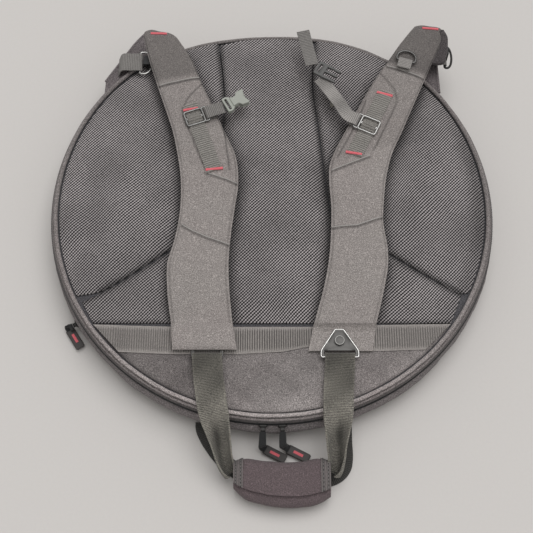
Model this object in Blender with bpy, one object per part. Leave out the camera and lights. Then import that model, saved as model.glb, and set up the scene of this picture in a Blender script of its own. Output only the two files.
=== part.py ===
"""Round padded bag for cymbals, with backpack straps, lying on its front face.

Every length is in metres. +Z is up. The origin is the middle of the flat front face, which rests on
the floor. The carry handle is at -Y and the straps' folded ends are at +Y.
"""
import bpy
import numpy as np
from math import cos, pi, radians, sin

# Gaps and sheet thicknesses
clearance = 0.0003
fabric = 0.0025

# Plan of the round case
seam_radius = 0.284
panel_turning = 0.0015
panel_radius = seam_radius + panel_turning
pad_inset = 0.0015
pad_radius = seam_radius - pad_inset
page_inset = 0.0120
page_radius = seam_radius - page_inset
rim_steps = 60
far_dip_share = 0.05
far_dip_angle = radians(92)
far_dip_spread = radians(26)

# Heights of the layers above the floor, each resting on the one before
front_panel_top = 0.0035
piping_radius = 0.0029
piping_gap = 0.0005
front_piping_height = 0.0042
pocket_gusset_low = front_piping_height + piping_radius + piping_gap
pocket_gusset_depth = 0.0071
pocket_gusset_high = pocket_gusset_low + pocket_gusset_depth
pocket_wall_low = pocket_gusset_high + clearance
pocket_wall_thickness = 0.0020
pocket_wall_high = pocket_wall_low + pocket_wall_thickness
gusset_low = pocket_wall_high + clearance
gusset_depth = 0.0237
gusset_high = gusset_low + gusset_depth
zip_low = gusset_high + clearance
zip_tape_width = 0.0037
zip_line = zip_low + zip_tape_width
zip_high = zip_line + zip_tape_width
band_low = zip_high + clearance
band_depth = 0.0062
band_high = band_low + band_depth
board_raise = 0.0010
board_thickness = 0.0040
board_low = band_low + board_raise
board_high = board_low + board_thickness
back_piping_height = band_high + piping_radius + piping_gap
pad_low = board_high + clearance
mesh_flat_thickness = 0.0019
mesh_flat_top = pad_low + mesh_flat_thickness
lower_panel_thickness = 0.0010
lower_panel_top = pad_low + lower_panel_thickness
belt_low = mesh_flat_top + clearance
belt_thickness = 0.0018
belt_high = belt_low + belt_thickness
page_thickness = 0.0030

# Side wall: how far its cloth stands outside the seam, at its heights
front_piping_proud = 0.0050
front_piping_place = seam_radius + front_piping_proud
back_piping_proud = 0.0034
back_piping_place = seam_radius + back_piping_proud
gusset_proud = 0.0120
gusset_radius_low = seam_radius + gusset_proud
gusset_bulge = 0.0015
gusset_bulge_radius = gusset_radius_low + gusset_bulge
gusset_bulge_height = 0.0270
gusset_taper = 0.0010
gusset_radius_high = gusset_radius_low - gusset_taper
pocket_step = 0.0015
pocket_gusset_radius_high = gusset_radius_low - pocket_step
pocket_flare = 0.0030
pocket_gusset_radius_low = pocket_gusset_radius_high - pocket_flare
pocket_wall_step = 0.0020
pocket_wall_radius = gusset_radius_low - pocket_wall_step
band_step = 0.0005
band_radius_low = gusset_radius_high - band_step
band_slope = 0.0030
band_radius_high = band_radius_low - band_slope
board_gap = 0.0002
board_radius = band_radius_high - fabric - board_gap
zip_end_angle = radians(50)
lid_axis_proud = 0.0010
lid_axis_place = seam_radius + lid_axis_proud
page_axis_inset = 0.0200
page_axis_place = seam_radius - page_axis_inset

# Colours, linear
mesh_grey = (0.115, 0.108, 0.108)
fabric_grey = (0.160, 0.148, 0.145)
dark_grey = (0.060, 0.056, 0.057)
webbing_grey = (0.125, 0.118, 0.106)
steel_grey = (0.55, 0.55, 0.54)
nylon_black = (0.035, 0.035, 0.036)
buckle_grey = (0.48, 0.50, 0.48)
lining_grey = (0.09, 0.09, 0.10)

# Mesh pads, as shares of the seam radius
centre_left_shares = (
    (-0.26, 0.90), (-0.23, 0.62), (-0.23, 0.45), (-0.25, 0.25), (-0.27, 0.07), (-0.29, -0.12),
    (-0.29, -0.583))
centre_right_shares = (
    (0.28, -0.583), (0.28, -0.12), (0.26, 0.07), (0.24, 0.25), (0.22, 0.45), (0.20, 0.62),
    (0.21, 0.91))
centre_top_shares = ((0.12, 0.925), (0.00, 0.93), (-0.14, 0.92))
pad_seam_gap = 0.0024
left_pad_seam_shares = ((-0.45, -0.21), (-0.55, -0.28), (-0.68, -0.37), (-0.78, -0.43))
right_pad_seam_shares = ((0.54, -0.24), (0.66, -0.32), (0.74, -0.37), (0.86, -0.44))
left_pad_arc = (radians(107), radians(207))
right_pad_arc = (radians(-26), radians(75))
pad_arc_steps = 16
pad_edge = 0.0022
pad_crown = 0.0045
pad_ring_shares = (1.00, 0.97, 0.90, 0.75, 0.50, 0.25)
lower_mesh_edge_share = -0.5827
lower_mesh_edge = lower_mesh_edge_share * seam_radius
left_lower_arc = (radians(210.5), radians(216))
right_lower_arc = (radians(-36), radians(-29.5))
lower_panel_arc = (radians(217), radians(323))

# Belt and lower panel
belt_near_share = -0.7218
belt_far_share = -0.5880
belt_far_half_share = 0.8028
belt_near_half_share = 0.6831
belt_near = belt_near_share * seam_radius
belt_far = belt_far_share * seam_radius
belt_far_half = belt_far_half_share * seam_radius
belt_near_half = belt_near_half_share * seam_radius

# Shoulder straps: station, middle and width as shares of the seam radius
strap_left_shares = (
    (-0.60, -0.325, 0.28), (-0.39, -0.336, 0.285), (-0.21, -0.325, 0.255), (-0.07, -0.305, 0.25),
    (0.06, -0.292, 0.26), (0.17, -0.295, 0.28), (0.37, -0.35, 0.245), (0.58, -0.43, 0.225),
    (0.69, -0.475, 0.215), (0.82, -0.52, 0.195), (0.88, -0.545, 0.18))
strap_right_shares = (
    (-0.60, 0.335, 0.28), (-0.43, 0.37, 0.27), (-0.26, 0.40, 0.265), (-0.04, 0.40, 0.24),
    (0.14, 0.405, 0.275), (0.26, 0.435, 0.275), (0.46, 0.53, 0.265), (0.63, 0.61, 0.245),
    (0.72, 0.655, 0.23), (0.82, 0.71, 0.21), (0.90, 0.76, 0.20))
end_near_share = -0.718
end_step_run = 0.0045
end_lip = 0.0016
end_left_middle_shares = (-0.298, -0.323)
end_right_middle_shares = (0.300, 0.333)
end_width_share = 0.28
strap_thickness = 0.0090
strap_steps = 26
strap_rise_shares = (-0.600, -0.317, 0.000, 0.600, 0.845)
strap_rises = (0.0, 0.0055, 0.0100, 0.0100, 0.0150)
strap_corner_share = 0.30
fold_length = 0.014
fold_drop = 0.006

# Sewn near ends of the straps, with the plates
end_low = belt_high + clearance
end_thickness = 0.0114
end_top = end_low + end_thickness
plate_raise = 0.0034
plate_thickness = 0.0020
plate_low = end_low + plate_raise
plate_high = plate_low + plate_thickness
end_left_arch = plate_high + clearance
end_right_flat = plate_low - clearance
plate_left_share = -0.287
plate_right_share = 0.2993
plate_left_middle = plate_left_share * seam_radius
plate_right_middle = plate_right_share * seam_radius
plate_half_width = 0.0235
plate_apex_half = 0.0045
plate_end = end_near_share * seam_radius
plate_apex_inset = 0.0274
plate_shoulder_inset = 0.0009
plate_lip = 0.0091
plate_apex = plate_end + plate_apex_inset
plate_shoulder = plate_end + plate_shoulder_inset
plate_near = plate_end - plate_lip
plate_corner = 0.0025
slot_far_lip = 0.0003
slot_width = 0.0056
slot_far = plate_end - slot_far_lip
slot_near = slot_far - slot_width
slot_half_length = 0.0196
rivet_radius = 0.0062
rivet_hole = 0.0022
rivet_height = 0.0026
rivet_inset = 0.0124
rivet_place = plate_end + rivet_inset

# Anchor wings, tabs and rings
wing_thickness = 0.0028
wing_low = board_low
wing_high = wing_low + wing_thickness
wing_left_shares = ((-0.50, 0.965), (-0.64, 0.985), (-0.735, 0.83), (-0.82, 0.69))
wing_right_shares = ((0.885, 0.66), (0.875, 0.80), (0.78, 0.965), (0.655, 0.865))
wing_left_arc = (radians(117), radians(147))
wing_right_arc = (radians(33), radians(53))
wing_overlap = 0.0006
wing_reach = band_radius_low + wing_overlap
anchor_ring_width = 0.0350
anchor_ring_depth = 0.0170
anchor_left_shares = (-0.648, 0.7675)
anchor_right_shares = (0.859, 0.8205)
anchor_left_raise = 0.0072
anchor_right_raise = 0.0046
anchor_left_height = back_piping_height + anchor_left_raise
anchor_right_height = wing_high + anchor_right_raise
anchor_left_place = (*[share * seam_radius for share in anchor_left_shares], anchor_left_height)
anchor_right_place = (*[share * seam_radius for share in anchor_right_shares], anchor_right_height)
anchor_tab_length = 0.0240
anchor_tab_width = 0.0280
anchor_tab_thickness = 0.0014
hook_width = 0.0140
hook_thickness = 0.0015
hook_nose_length = 0.0060
hook_nose_width = 0.0110
hook_nose_from_bar = 0.0080
hook_nose_below = 0.0025
hook_under_strap = 0.0005
hook_left_share = -0.528
hook_right_share = 0.757
hook_reach_left = hook_left_share * seam_radius
hook_reach_right = hook_right_share * seam_radius

# Ladder webbing and chest-strap pieces
ladder_width = 0.0220
ladder_thickness = 0.0014
ladder_raise = 0.0008
ladder_left_shares = ((-0.3945, 0.500), (-0.2675, 0.141))
ladder_right_shares = ((0.553, 0.5705), (0.3875, 0.2255))
slider_left_share = 0.21
slider_right_share = 0.55
slider_length = 0.0240
slider_arm = 0.0027
slider_cheek = 0.0024
slider_roof = 0.0020
slider_gap = 0.0036
slider_bar = 0.0026
chest_width = 0.0180
chest_thickness = 0.0014
chest_loop_radius = 0.0026
chest_under = 0.0100
chest_left_reach = 0.0230
chest_right_side = 0.0484
chest_right_rise = 0.0639
chest_end_across_shares = (0.86, 0.50)
chest_run_shares = (0.35, 0.70, 1.00)
heel_gap = 0.0014
tail_run_shares = (0.0, 0.33, 0.67, 1.0)
tail_curl = 1.5
female_turn = radians(29)
female_length = 0.0330
female_width = 0.0240
female_height = 0.0100
female_wall = 0.0022
female_heel = 0.0090
female_window = (0.0150, 0.0240)
male_from_webbing = (-0.0040, 0.0160)
male_turn = radians(-31)
male_above_bar = 0.0037
male_height = 0.0044
male_width = 0.0220
male_edges = (0.0, 0.0030, 0.0065, 0.0140, 0.0330)
prong_outer = 0.0042
prong_inner = 0.0020
tail_from_webbing = (-0.0104, 0.0199)
tail_above_bar = 0.0059
tail_length = 0.0570
tail_turn = radians(103)
tail_rise = 0.0140
strap_ring_shares = (0.6515, 0.7325)
strap_ring_place = tuple(share * seam_radius for share in strap_ring_shares)
strap_ring_turn = radians(-17)
strap_ring_width = 0.0260
strap_ring_depth = 0.0160
strap_tab_width = 0.0190
strap_tab_length = 0.0130
wire_radius = 0.0015
tab_loop_radius = 0.0026
tab_kink_share = 0.6
ring_leg_share = 0.35
strap_tab_offset = 0.0063

# Back carry handle: stations of middle, place, height, width share and turn of the webbing's width
handle_axis_lip = 0.0075
handle_axis = (0.0, plate_end - handle_axis_lip, (plate_low + plate_high) / 2)
leg_width = 0.0375
leg_thickness = 0.0018
leg_folded_thickness = 0.0040
leg_loop_radius = 0.0031
leg_under = 0.0120
leg_beyond_seam = (-0.0490, -0.0220, -0.0060, 0.0070, 0.0200, 0.0330, 0.0480, 0.0600, 0.0670)
leg_drops = (-0.0020, -0.0020, -0.0015, 0.0020, 0.0080, 0.0170, 0.0290, 0.0380, 0.0430)
leg_left_drift = (0.0015, 0.0055, 0.0080, 0.0100, 0.0120, 0.0135, 0.0155, 0.0195, 0.0265)
leg_right_drift = (-0.0010, -0.0030, -0.0035, -0.0038, -0.0035, -0.0025, -0.0020, -0.0040, -0.0070)
leg_width_shares = (1.0, 1.0, 1.0, 0.97, 0.88, 0.74, 0.58, 0.46, 0.44)
leg_turns = (0.0, 0.0, 0.0, 0.0, 0.05, 0.15, 0.40, 0.90, 1.45)
leg_end_clear = 0.0004
grip_left_inset = 0.0345
grip_right_inset = 0.0140
grip_left_end = plate_left_middle + grip_left_inset
grip_right_end = plate_right_middle - grip_right_inset
grip_beyond_seam = 0.0800
grip_middle = -(seam_radius + grip_beyond_seam)
grip_height = 0.0195
grip_half_width = 0.0270
grip_half_height = 0.0130
grip_wrap = 0.0040
grip_wrap_start = 0.0
grip_wrap_end = radians(118)
grip_steps = 20
grip_end_shares = (0.88, 1.00, 1.00, 0.88)
grip_end_taper = 0.0050

# Front carry handle, lying on the floor and passing under the grip
front_webbing_width = 0.0200
front_webbing_low = 0.0006
front_webbing_high = 0.0024
front_start_inset = 0.0029
front_bend_beyond_seam = 0.0460
front_reach_beyond_seam = 0.0700
front_start = front_start_inset - seam_radius
front_bend = -(seam_radius + front_bend_beyond_seam)
front_reach = -(seam_radius + front_reach_beyond_seam)
front_left = -0.0880
front_right = 0.0920
front_corner = 0.0280
# The left run's places: how far inwards of its start, and how far beyond the seam
front_left_sweep = (
    (0.0, 0.0026), (0.0055, 0.0170), (0.0145, 0.0310), (0.0250, 0.0440), (0.0380, 0.0560),
    (0.0540, 0.0650), (0.0720, 0.0695))

# Zip sliders and pulls
main_slider_gap = 0.0004
main_slider_depth = 0.0091
main_slider_near = band_radius_low + main_slider_gap
main_slider_radii = (main_slider_near, main_slider_near + main_slider_depth)
slider_half_height = 0.0032
main_slider_heights = (zip_line - slider_half_height, zip_line + slider_half_height)
pocket_slider_gap = 0.0006
pocket_slider_depth = 0.0069
pocket_slider_near = gusset_radius_low + pocket_slider_gap
pocket_slider_radii = (pocket_slider_near, pocket_slider_near + pocket_slider_depth)
pocket_slider_half = 0.0030
pocket_slider_heights = (pocket_wall_low - pocket_slider_half, pocket_wall_low + pocket_slider_half)
slider_span = 0.0110
main_left_angle = radians(-92.2)
main_right_angle = radians(-87.6)
pocket_angle = radians(-149.4)
pull_width = 0.0058
pull_neck = 0.0016
pull_thickness = 0.0026
pull_gap = 0.0004
pull_knee = 0.0150
pull_run_shares = (0.0, 0.34, 0.67, 1.0)
pull_twist_shares = (0.0, 0.0, 0.2, 0.4, 0.7, 1.0, 1.0, 1.0)
knee_drop_share = 0.2
tag_rise_share = 0.9
tag_neck_share = 0.8
tag_width = 0.0090
tag_length = 0.0280
tag_thickness = 0.0038
tag_low = 0.0036
tag_turn = radians(-27)
main_left_tag_from_slider = (0.0152, -0.0227)
main_right_tag_from_slider = (0.0203, -0.0198)
pocket_tag_from_slider = (0.0022, -0.0145)
pocket_tag_turn = radians(-57)
pocket_knee = 0.0030


scene_objects = list(bpy.data.objects)
for old in scene_objects:
    bpy.data.objects.remove(old, do_unlink=True)

materials = {}
bodies = {}


def material(name, colour, roughness, metallic=0.0):
    """One Principled material for one object."""
    made = bpy.data.materials.new(name)
    made.use_nodes = True
    shader = made.node_tree.nodes["Principled BSDF"]
    shader.inputs["Base Color"].default_value = (*colour, 1.0)
    shader.inputs["Roughness"].default_value = roughness
    shader.inputs["Metallic"].default_value = metallic
    return made


def body(name, place, parent=None):
    """An empty on a joint's axis, which the body's pieces hang from."""
    empty = bpy.data.objects.new(name, None)
    bpy.context.collection.objects.link(empty)
    at = np.array(place, float)
    base = np.zeros(3)
    if parent:
        empty.parent = bpy.data.objects[parent]
        base = bodies[parent]
    empty.location = tuple(at - base)
    bodies[name] = at


def add(name, shape, colour, holder, roughness=0.85, metallic=0.0, smooth=False):
    """Puts a closed shape, given in world places, on a body."""
    points, faces = shape
    mesh = bpy.data.meshes.new(name)
    local = np.asarray(points, float) - bodies[holder]
    mesh.from_pydata([tuple(point) for point in local], [], faces)
    mesh.materials.append(material(name + "_look", colour, roughness, metallic))
    made = bpy.data.objects.new(name, mesh)
    bpy.context.collection.objects.link(made)
    made.parent = bpy.data.objects[holder]
    if smooth:
        mesh.shade_smooth()
        mesh.set_sharp_from_angle(angle=radians(35))
    return made


def rim(radius, angle):
    """A place on the case's plan outline, which is slightly flattened at the far side."""
    away = (angle - far_dip_angle + pi) % (2 * pi) - pi
    reach = radius * (1 - far_dip_share * np.exp(-(away / far_dip_spread) ** 2))
    return np.array([reach * cos(angle), reach * sin(angle)])


def loft(loops, closed=False):
    """Skins equal loops of points; the ends are capped unless the row of loops closes on itself."""
    count = len(loops[0])
    points = np.concatenate([np.asarray(loop, float) for loop in loops])
    faces = []
    spans = len(loops) if closed else len(loops) - 1
    for row in range(spans):
        a = row * count
        b = ((row + 1) % len(loops)) * count
        for step in range(count):
            after = (step + 1) % count
            faces.append((a + step, a + after, b + after, b + step))
    if not closed:
        last = (len(loops) - 1) * count
        faces.append(tuple(reversed(range(count))))
        faces.append(tuple(range(last, last + count)))
    return outward(points, faces)


def outward(points, faces):
    """Turns all faces round when the volume they enclose comes out negative."""
    volume = 0.0
    for face in faces:
        first = points[face[0]]
        for step in range(1, len(face) - 1):
            volume += np.dot(first, np.cross(points[face[step]], points[face[step + 1]]))
    if volume < 0:
        faces = [tuple(reversed(face)) for face in faces]
    return points, faces


def level(outline, height):
    """The plan outline at one height."""
    return np.array([(x, y, height) for x, y in outline])


def prism(outline, low, high):
    """A flat plate between two heights."""
    return loft([level(outline, low), level(outline, high)])


def disc(radius, low, high):
    """A round plate with the case's plan outline."""
    angles = np.arange(rim_steps) * 2 * pi / rim_steps
    return prism([rim(radius, angle) for angle in angles], low, high)


def wall(profile, start=None, end=None):
    """Sweeps a closed profile of radius and height round the rim, all the way or from start to end."""
    whole = start is None
    if whole:
        angles = np.arange(rim_steps) * 2 * pi / rim_steps
    else:
        count = max(4, int(round(rim_steps * abs(end - start) / (2 * pi))) + 1)
        angles = np.linspace(start, end, count)
    loops = []
    for angle in angles:
        loops.append([(*rim(radius, angle), height) for radius, height in profile])
    return loft(loops, closed=whole)


def skin(radii, heights, thickness):
    """A wall's closed profile: the outer line of places, and the same line moved in by the thickness."""
    outer = list(zip(radii, heights))
    inner = [(radius - thickness, height) for radius, height in reversed(outer)]
    return outer + inner


def rod_profile(radius, height, thickness):
    """An eight-sided rod's profile."""
    turns = np.arange(8) * pi / 4 + pi / 8
    return [(radius + thickness * cos(turn), height + thickness * sin(turn)) for turn in turns]


def ribbon(middles, across, widths, thicknesses):
    """A band: a rectangle carried along its middle line; its up direction is square to both."""
    middles = np.asarray(middles, float)
    loops = []
    for step, middle in enumerate(middles):
        ahead = middles[min(step + 1, len(middles) - 1)] - middles[max(step - 1, 0)]
        side = np.asarray(across[step] if np.ndim(across) > 1 else across, float)
        side = side / np.linalg.norm(side)
        up = np.cross(side, ahead)
        up = up / np.linalg.norm(up)
        half = side * widths[step] / 2
        rise = up * thicknesses[step] / 2
        lower = [middle - half - rise, middle + half - rise]
        loops.append(lower + [middle + half + rise, middle - half + rise])
    return loft(loops)


def extrude_across(profile, start, end):
    """Carries a closed profile of Y and Z places along X."""
    return loft([[(start, y, z) for y, z in profile], [(end, y, z) for y, z in profile]])


def tube(path, radius, sides=6):
    """A closed wire ring round a flat path."""
    path = np.asarray(path, float)
    count = len(path)
    normal = np.array([0.0, 0.0, 1.0])
    loops = []
    for step in range(count):
        before = path[step] - path[step - 1]
        after = path[(step + 1) % count] - path[step]
        ahead = before / np.linalg.norm(before) + after / np.linalg.norm(after)
        ahead = ahead / np.linalg.norm(ahead)
        side = np.cross(ahead, normal)
        turns = np.arange(sides) * 2 * pi / sides
        loops.append([path[step] + radius * (cos(turn) * side + sin(turn) * normal) for turn in turns])
    return loft(loops, closed=True)


def cells(edges_x, edges_y, edges_z, filled):
    """A blocky solid: the named cells of a grid, with walls only where a filled cell meets an empty one."""
    filled = set(filled)
    index = {}
    points = []
    faces = []

    def corner(i, j, k):
        if (i, j, k) not in index:
            index[(i, j, k)] = len(points)
            points.append((edges_x[i], edges_y[j], edges_z[k]))
        return index[(i, j, k)]

    sides = (
        ((-1, 0, 0), ((0, 0, 0), (0, 0, 1), (0, 1, 1), (0, 1, 0))),
        ((1, 0, 0), ((1, 0, 0), (1, 1, 0), (1, 1, 1), (1, 0, 1))),
        ((0, -1, 0), ((0, 0, 0), (1, 0, 0), (1, 0, 1), (0, 0, 1))),
        ((0, 1, 0), ((0, 1, 0), (0, 1, 1), (1, 1, 1), (1, 1, 0))),
        ((0, 0, -1), ((0, 0, 0), (0, 1, 0), (1, 1, 0), (1, 0, 0))),
        ((0, 0, 1), ((0, 0, 1), (1, 0, 1), (1, 1, 1), (0, 1, 1))))
    for cell in sorted(filled):
        for (dx, dy, dz), quad in sides:
            if (cell[0] + dx, cell[1] + dy, cell[2] + dz) in filled:
                continue
            faces.append(tuple(corner(cell[0] + a, cell[1] + b, cell[2] + c) for a, b, c in quad))
    return np.array(points), faces


def moved(shape, turn, place):
    """Turns a shape about +Z and moves it."""
    points, faces = shape
    points = np.asarray(points, float)
    turned = points.copy()
    turned[:, 0] = cos(turn) * points[:, 0] - sin(turn) * points[:, 1]
    turned[:, 1] = sin(turn) * points[:, 0] + cos(turn) * points[:, 1]
    return turned + np.asarray(place, float), faces


def cushion(outline, low, edge, crown):
    """A flat-backed pad with a domed top: the outline shrinks towards its middle as the top rises."""
    outline = np.asarray(outline, float)
    middle = (outline.min(axis=0) + outline.max(axis=0)) / 2
    loops = [level(outline, low)]
    for share in pad_ring_shares:
        height = low + edge + crown * (1 - share ** 2) ** 0.5
        loops.append(level(middle + (outline - middle) * share, height))
    return loft(loops)


def strap_top(y):
    """Height of a shoulder strap's top surface at a place along Y."""
    return end_top + np.interp(y / seam_radius, strap_rise_shares, strap_rises)


def strap(stations):
    """A padded strap: a slab with eased corners that follows the rise and ends in a folded tongue."""
    rows = []
    for y, middle, width in stations:
        rows.append((y, middle, width, strap_top(y) - strap_thickness, strap_top(y)))
    y, middle, width = stations[-1]
    low = strap_top(y) - strap_thickness - fold_drop
    high = strap_top(y) - fold_drop / 2
    rows += [(y + fold_length / 2, middle, width, low, high), (y + fold_length, middle, width, low, high)]
    ease = strap_thickness * strap_corner_share
    loops = []
    for y, middle, width, low, high in rows:
        left = middle - width / 2
        right = middle + width / 2
        loops.append([(left + ease, y, low), (right - ease, y, low), (right, y, low + ease),
                      (right, y, high - ease), (right - ease, y, high), (left + ease, y, high),
                      (left, y, high - ease), (left, y, low + ease)])
    return loft(loops)


def eased(stations, steps):
    """A smooth run of stations through the given ones, evenly spaced along the first column."""
    stations = np.asarray(stations, float)
    places = np.linspace(stations[0, 0], stations[-1, 0], steps)
    slopes = np.gradient(stations, stations[:, 0], axis=0)
    run = []
    for place in places:
        span = min(np.searchsorted(stations[:, 0], place, side="right") - 1, len(stations) - 2)
        width = stations[span + 1, 0] - stations[span, 0]
        t = (place - stations[span, 0]) / width
        near = (2 * t ** 3 - 3 * t ** 2 + 1) * stations[span]
        near += (t ** 3 - 2 * t ** 2 + t) * width * slopes[span]
        far = (3 * t ** 2 - 2 * t ** 3) * stations[span + 1]
        far += (t ** 3 - t ** 2) * width * slopes[span + 1]
        run.append(near + far)
    return [tuple(row) for row in run]


def sized(shares):
    """Shares of the seam radius as places."""
    return [tuple(value * seam_radius for value in row) for row in shares]


def arc(radius, start, end, count):
    """Places along the rim between two angles."""
    return [tuple(rim(radius, angle)) for angle in np.linspace(start, end, count)]


def ring_path(width, depth, height):
    """A D-ring's middle line: a straight bar on the X axis and a round bow towards +Y."""
    half = width / 2
    turns = np.linspace(0, pi, 11)
    bow = []
    for turn in turns:
        bow.append((half * cos(turn), depth * (ring_leg_share + (1 - ring_leg_share) * sin(turn)), height))
    return [(-half, 0.0, height), (half, 0.0, height)] + bow


def plan(angle):
    """A level direction at an angle from +X."""
    return np.array([cos(angle), sin(angle), 0.0])


def folded(under, radius, along, across):
    """Middle line of webbing folded back round a bar: the under leaf, then the half turn round the bar."""
    up = np.array([0.0, 0.0, 1.0])
    line = [along * under - up * radius]
    for turn in np.linspace(-pi / 2, pi / 2, 7):
        line.append(-along * radius * cos(turn) + up * radius * sin(turn))
    return line, [np.asarray(across, float)] * len(line)


def flat_band(path, width, low, high):
    """Webbing lying flat along a path in plan."""
    path = np.asarray(path, float)
    loops = []
    for step, (x, y) in enumerate(path):
        ahead = path[min(step + 1, len(path) - 1)] - path[max(step - 1, 0)]
        ahead = ahead / np.linalg.norm(ahead)
        side = np.array([-ahead[1], ahead[0]]) * width / 2
        loops.append([(x - side[0], y - side[1], low), (x + side[0], y + side[1], low),
                      (x + side[0], y + side[1], high), (x - side[0], y - side[1], high)])
    return loft(loops)


def d_ring(holder_name, node, place, turn, width, depth, wire):
    """A D-ring on its own body, whose origin is on the ring's straight bar."""
    shape = tube(ring_path(width, depth, 0.0), wire)
    add(node, moved(shape, turn, place), steel_grey, holder_name, 0.35, 1.0, smooth=True)


def webbing_tab(node, holder_name, place, turn, length, width, thickness, drop):
    """A tab folded round a ring's bar; its far end steps down by the drop."""
    along = plan(turn - pi / 2)
    line, across = folded(length, tab_loop_radius, along, plan(turn))
    line.append(along * length * tab_kink_share + np.array([0.0, 0.0, tab_loop_radius]))
    line.append(along * length + np.array([0.0, 0.0, tab_loop_radius]))
    if drop:
        line = line[1:]
        across = across[1:]
        line.append(along * (length + drop / 2) + np.array([0.0, 0.0, tab_loop_radius - drop]))
        across = across + [plan(turn)]
    across = across + [plan(turn)] * 2
    middles = np.array(line) + np.asarray(place)
    count = len(middles)
    shape = ribbon(middles, across, [width] * count, [thickness] * count)
    add(node, shape, webbing_grey, holder_name)


def hook(node, holder_name, ring_place, reach, low):
    """A flat hook under the strap, with a nose that drops into the anchor ring from above."""
    x, y, height = ring_place
    nose = x + hook_nose_from_bar
    edges_x = sorted([reach, nose - hook_nose_length / 2, nose + hook_nose_length / 2])
    edges_y = [y - hook_width / 2, y - hook_nose_width / 2, y + hook_nose_width / 2, y + hook_width / 2]
    edges_z = [height - hook_nose_below, low, low + hook_thickness]
    nose_cell = 0 if reach > nose else 1
    filled = [(i, j, 1) for i in range(2) for j in range(3)] + [(nose_cell, 1, 0)]
    add(node, cells(edges_x, edges_y, edges_z, filled), nylon_black, holder_name, 0.5)


def chest_slider(node, holder_name, place, turn):
    """A bridge over the ladder webbing; local X points to the bar that carries the chest webbing."""
    half = ladder_width / 2 + clearance
    edges_x = [-half - slider_cheek, -half, half, half + slider_cheek, half + slider_cheek + slider_gap,
               half + slider_cheek + slider_gap + slider_bar]
    edges_y = [-slider_length / 2, slider_arm - slider_length / 2, slider_length / 2 - slider_arm,
               slider_length / 2]
    foot = ladder_raise
    roof = ladder_raise + ladder_thickness + clearance
    edges_z = [foot, roof, roof + slider_roof]
    filled = [(i, j, 0) for i in (0, 2) for j in range(3)]
    filled += [(i, j, 1) for i in (0, 1, 2, 4) for j in range(3)]
    filled += [(3, 0, 1), (3, 2, 1)]
    add(node, moved(cells(edges_x, edges_y, edges_z, filled), turn, place), nylon_black, holder_name, 0.45)
    bar = half + slider_cheek + slider_gap + slider_bar / 2
    return np.asarray(place) + plan(turn) * bar + np.array([0.0, 0.0, roof + slider_roof / 2])


def zip_slider(node, holder_name, angle, radii, heights):
    """A slider body astride the zip's outer side."""
    edges_x = list(radii)
    edges_y = [-slider_span / 2, slider_span / 2]
    add(node, moved(cells(edges_x, edges_y, list(heights), [(0, 0, 0)]), angle, (0.0, 0.0, 0.0)),
        steel_grey, holder_name, 0.4, 1.0)


def zip_pull(node, holder_name, angle, radii, heights, knee, tag_from_slider, turn):
    """A pull that hangs from the slider, twists to the tag's direction, and ends in a lying tag."""
    height = sum(heights) / 2
    start = plan(angle) * (radii[1] + pull_gap) + np.array([0.0, 0.0, height])
    along = plan(turn)
    tag_height = tag_low + tag_thickness / 2
    middle = plan(angle) * radii[1] + np.array([*tag_from_slider, 0.0])
    middle[2] = tag_height
    near = middle - along * tag_length / 2
    far = middle + along * tag_length / 2
    neck = start + plan(angle) * pull_neck
    out = start + plan(angle) * knee - np.array([0.0, 0.0, (height - tag_height) * knee_drop_share])
    low = near - along * tag_thickness / 2 + np.array([0.0, 0.0, tag_thickness * tag_rise_share])
    line = [start, neck] + [out + (low - out) * share for share in pull_run_shares]
    line += [near + along * tag_thickness, far]
    turns = np.interp(pull_twist_shares, (0.0, 1.0), (angle + pi / 2, turn + pi / 2))
    across = [plan(value) for value in turns]
    widths = [pull_neck] * 2 + [pull_width] * 3 + [tag_width * tag_neck_share, tag_width, tag_width]
    thicknesses = [pull_thickness] * 6 + [tag_thickness] * 2
    add(node, ribbon(line, across, widths, thicknesses), dark_grey, holder_name)


# Front half of the case, which rests on the floor
body("case", (0.0, 0.0, 0.0))
add("front_panel", disc(panel_radius, 0.0, front_panel_top), fabric_grey, "case")
piping = rod_profile(front_piping_place, front_piping_height, piping_radius)
add("front_piping", wall(piping), dark_grey, "case", smooth=True)
radii = (pocket_gusset_radius_low, pocket_gusset_radius_high)
add("pocket_gusset", wall(skin(radii, (pocket_gusset_low, pocket_gusset_high), fabric)), dark_grey, "case")
add("pocket_wall", disc(pocket_wall_radius, pocket_wall_low, pocket_wall_high), lining_grey, "case")
radii = (gusset_radius_low, gusset_bulge_radius, gusset_radius_high)
heights = (gusset_low, gusset_bulge_height, gusset_high)
add("main_gusset", wall(skin(radii, heights, fabric)), dark_grey, "case", smooth=True)
zip_start = pi / 2 + zip_end_angle
zip_stop = pi / 2 - zip_end_angle + 2 * pi
tape = skin((band_radius_low, band_radius_low), (zip_low, zip_line - clearance), fabric)
add("zip_tape_lower", wall(tape, zip_start, zip_stop), nylon_black, "case")
margin = radians(0.5)
hinge_start = pi / 2 - zip_end_angle + margin
hinge_stop = pi / 2 + zip_end_angle - margin
add("hinge_gusset", wall(tape, hinge_start, hinge_stop), dark_grey, "case")

# Divider pages, hinged inside the case
page_lows = (pocket_wall_high + clearance, pocket_wall_high + page_thickness + 2 * clearance)
for name, low in zip(("page_one", "page_two"), page_lows):
    body(name + "_hinge", (0.0, page_axis_place, low + page_thickness / 2), "case")
    add(name, disc(page_radius, low, low + page_thickness), lining_grey, name + "_hinge")

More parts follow.
